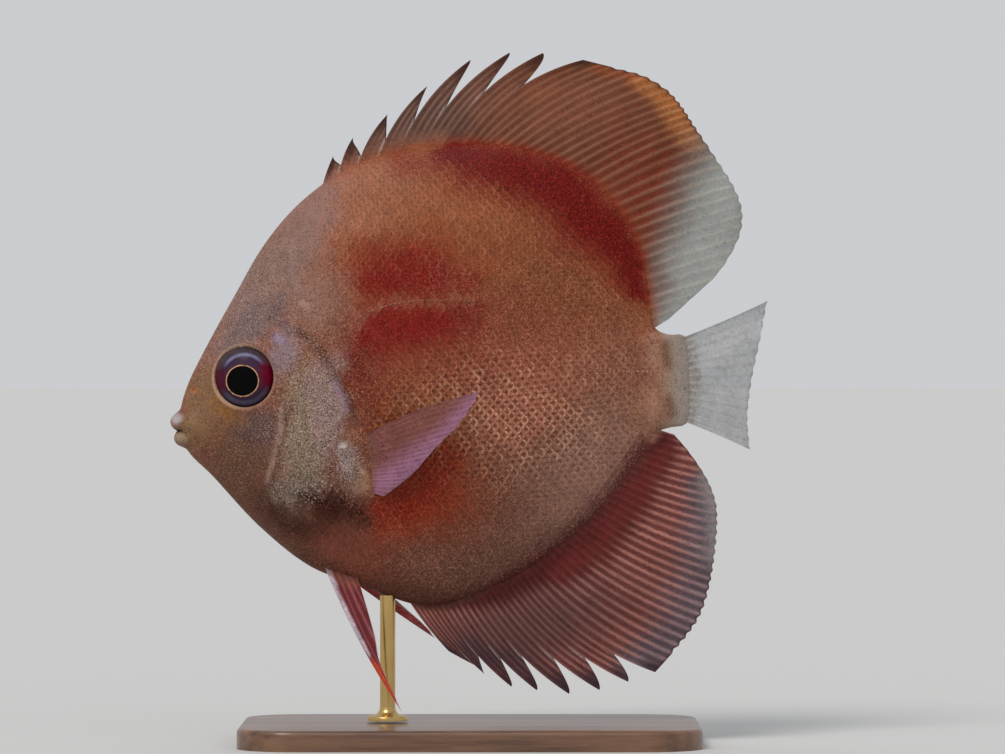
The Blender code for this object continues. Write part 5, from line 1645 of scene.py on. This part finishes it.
def pore_tree(look):
    """Geometry nodes that set small beads along a path, turned to follow it."""
    tree = bpy.data.node_groups.new("pores along a path", "GeometryNodeTree")
    sizes = {"Path": "Geometry", "Spacing": "Float", "Bead": "Vector", "Unevenness": "Float"}
    for name, kind in sizes.items():
        tree.interface.new_socket(name, in_out="INPUT", socket_type=f"NodeSocket{kind}")
    tree.interface.new_socket("Pores", in_out="OUTPUT", socket_type="NodeSocketGeometry")
    add = partial(add_node, tree)
    given = add("NodeGroupInput").outputs
    curve = add("GeometryNodeMeshToCurve", {}, Mesh=given["Path"]).outputs["Curve"]
    steps = add("GeometryNodeResampleCurve", {"mode": "LENGTH"}, Curve=curve, Length=given["Spacing"])
    bead = add("GeometryNodeMeshIcoSphere", {}, Radius=1.0, Subdivisions=1)
    tangent = add("GeometryNodeInputTangent").outputs["Tangent"]
    turn = add("FunctionNodeAlignRotationToVector", {"axis": "X"}, Vector=tangent)
    chance = add("FunctionNodeRandomValue", {"data_type": "FLOAT"}, Seed=7)
    put(tree, chance.inputs[2], -1.0)
    put(tree, chance.inputs[3], 1.0)
    uneven = add("ShaderNodeMath", {"operation": "MULTIPLY_ADD"})
    for socket, value in zip(uneven.inputs, (chance.outputs[1], given["Unevenness"], 1.0)):
        put(tree, socket, value)
    size = add("ShaderNodeVectorMath", {"operation": "SCALE"}, Scale=uneven.outputs["Value"])
    put(tree, size.inputs[0], given["Bead"])
    beads = add(
        "GeometryNodeInstanceOnPoints",
        {},
        Points=steps.outputs["Curve"],
        Instance=bead.outputs["Mesh"],
        Rotation=turn.outputs["Rotation"],
        Scale=size.outputs["Vector"],
    )
    real = add("GeometryNodeRealizeInstances", {}, Geometry=beads.outputs["Instances"])
    done = add("GeometryNodeSetMaterial", {}, Geometry=real.outputs["Geometry"], Material=look)
    add("NodeGroupOutput", {}, Pores=done.outputs["Geometry"])
    return tree


def pores(name, side, tree, pattern):
    """Small beads of the lateral line on one side."""
    points, edges = [], []
    for line in LATERAL_LINE:
        pixels = np.array(line, float)
        along = np.linspace(0, len(pixels) - 1, 12 * len(pixels))
        before = np.minimum(along.astype(int), len(pixels) - 2)
        share = (along - before)[:, None]
        first = len(points)
        for u, v in pixels[before] * (1 - share) + pixels[before + 1] * share:
            hit, normal = on_skin(tree, *at_pixel(u, v), side)
            points.append(hit + normal * PORE_RISE * MM)
        edges += [(k, k + 1) for k in range(first, len(points) - 1)]
    path = bpy.data.meshes.new(name)
    path.from_pydata(points, edges, [])
    made = bpy.data.objects.new(name, path)
    bpy.context.scene.collection.objects.link(made)
    modifier = made.modifiers.new("pores", "NODES")
    modifier.node_group = pattern
    bead = [part * MM for part in PORE_BEAD]
    values = {"Spacing": PORE_STEP * MM, "Bead": bead, "Unevenness": PORE_UNEVENNESS}
    for item in pattern.interface.items_tree:
        if item.name in values:
            modifier[item.identifier] = values[item.name]
    graph = bpy.context.evaluated_depsgraph_get()
    finished = made.evaluated_get(graph)
    mesh = bpy.data.meshes.new_from_object(finished, preserve_all_data_layers=True, depsgraph=graph)
    made.modifiers.clear()
    made.data = mesh
    mesh.name = name
    mesh.shade_smooth()
    return finish_piece(made, "flank_skin")


def pore_look():
    """The beads' colour, which follows the flank's."""
    look = Look("lateral line", Specular_IOR_Level=0.14)
    grain = look.noise(0.5, 2.0, 3.0)
    x = look.parts(look.place)[0]
    colour = look.mix(look.step(x, 30.0, 48.0), tint("front pore"), tint("middle pore"))
    colour = look.mix(look.step(x, 62.0, 72.0), colour, tint("rear pore"))
    return look.end(look.shade(colour, 1.0 + grain * 1.4), 0.5)


def build_fish():
    """The skin with its lips, then the scales, pores and eyeball of each side, and the fins."""
    lips = (lip(UPPER_LIP), lip(LOWER_LIP))
    points, faces = joined(*blended(skin_body(), lips, LIP_FILLET))
    paint = painted(BODY_PAINT + FINE_MARKS, points[:, 0], points[:, 2])
    skin = new_piece("fish_skin", points, faces, [skin_look()], paint=paint)
    closed(skin.data)
    flesh = ("head", "trunk", "tail_stalk", "gill_cover_left", "gill_cover_right", "upper_lip", "lower_lip")
    finish_piece(skin, "flank_skin", *flesh)
    corners = [list(face.vertices) for face in skin.data.polygons]
    tree = BVHTree.FromPolygons([v.co for v in skin.data.vertices], corners)
    scaled, eye, pattern = scale_look(), eye_look(), pore_tree(pore_look())
    for name, side in SIDES:
        scales(f"scales_{name}", side, tree, scaled)
        pores(f"pores_{name}", side, tree, pattern)
        eyeball(name, side, eye)
    build_fins()


def build_fins():
    for name, margin, layers, sheath, *shape in MEDIAN_FINS:
        look = fin_look(f"{name} fin", len(shape[1]), 1.0, 0.5, tint(margin), 0.36)
        fin_sheet(f"fin_{name}", median_panels(*shape), look, "red_fin", f"{name}_fin", layers, sheath)
    look = fin_look("tail fin", 0, 1.0, 0.6, tint("tail margin"), 0.4)
    fin_sheet("fin_tail", tail_panels(), look, "pale_fin", "tail_fin", TAIL_PAINT)
    looks = {
        "pectoral": fin_look("pectoral fin", 0, 2.0, 0.6, tint("pectoral margin"), 0.2),
        "pelvic": fin_look("pelvic fin", 0, 1.0, 0.6, tint("pelvic margin"), 0.3),
    }
    for kind, name, slot, layers, sheath, *shape in PAIRED_FINS:
        panels = paired_panels(dict(SIDES)[name], *shape)
        fin_sheet(f"fin_{kind}_{name}", panels, looks[kind], slot, f"{kind}_fin_{name}", layers, sheath)


def light_up():
    """A soft lamp high in front of the fish, and a pale room."""
    world = bpy.data.worlds.new("studio")
    bpy.context.scene.world = world
    world.use_nodes = True
    background = world.node_tree.nodes["Background"]
    background.inputs["Color"].default_value = ROOM_COLOUR
    background.inputs["Strength"].default_value = ROOM_LIGHT
    data = bpy.data.lights.new("key", "SUN")
    data.energy = KEY_LIGHT
    data.angle = math.radians(KEY_WIDTH)
    data.color = KEY_COLOUR
    lamp = bpy.data.objects.new("key", data)
    lamp.rotation_euler = (-Vector(KEY_FROM)).to_track_quat("-Z", "Y").to_euler()
    bpy.context.scene.collection.objects.link(lamp)


def lay_floor():
    """A plain pale floor under the stand."""
    bpy.ops.mesh.primitive_plane_add(size=FLOOR_SIZE)
    floor = bpy.context.object
    floor.name = "floor"
    look = bpy.data.materials.new("pale floor")
    look.use_nodes = True
    for socket, value in FLOOR_LOOK:
        look.node_tree.nodes["Principled BSDF"].inputs[socket].default_value = value
    floor.data.materials.append(look)


def set_camera():
    """Level with the middle of the frame, square to the fish's side, with the photograph's framing."""
    x, z = at_pixel(PHOTO_SIZE[0] / 2, PHOTO_SIZE[1] / 2)
    middle = LEVEL @ Vector((x, 0.0, z))
    data = bpy.data.cameras.new("camera")
    data.sensor_width = SENSOR_WIDTH
    data.lens = SENSOR_WIDTH * CAMERA_DISTANCE / (PHOTO_SIZE[0] * MM_PER_PIXEL * MM)
    camera = bpy.data.objects.new("camera", data)
    camera.location = (middle.x, -CAMERA_DISTANCE, middle.z)
    camera.rotation_euler = (math.radians(90.0), 0.0, 0.0)
    bpy.context.scene.collection.objects.link(camera)
    bpy.context.scene.camera = camera


bpy.context.scene.view_settings.view_transform = "Standard"
build_fish()
stand_base(wood_look())
stand_rod(brass_look())
lay_floor()
light_up()
set_camera()
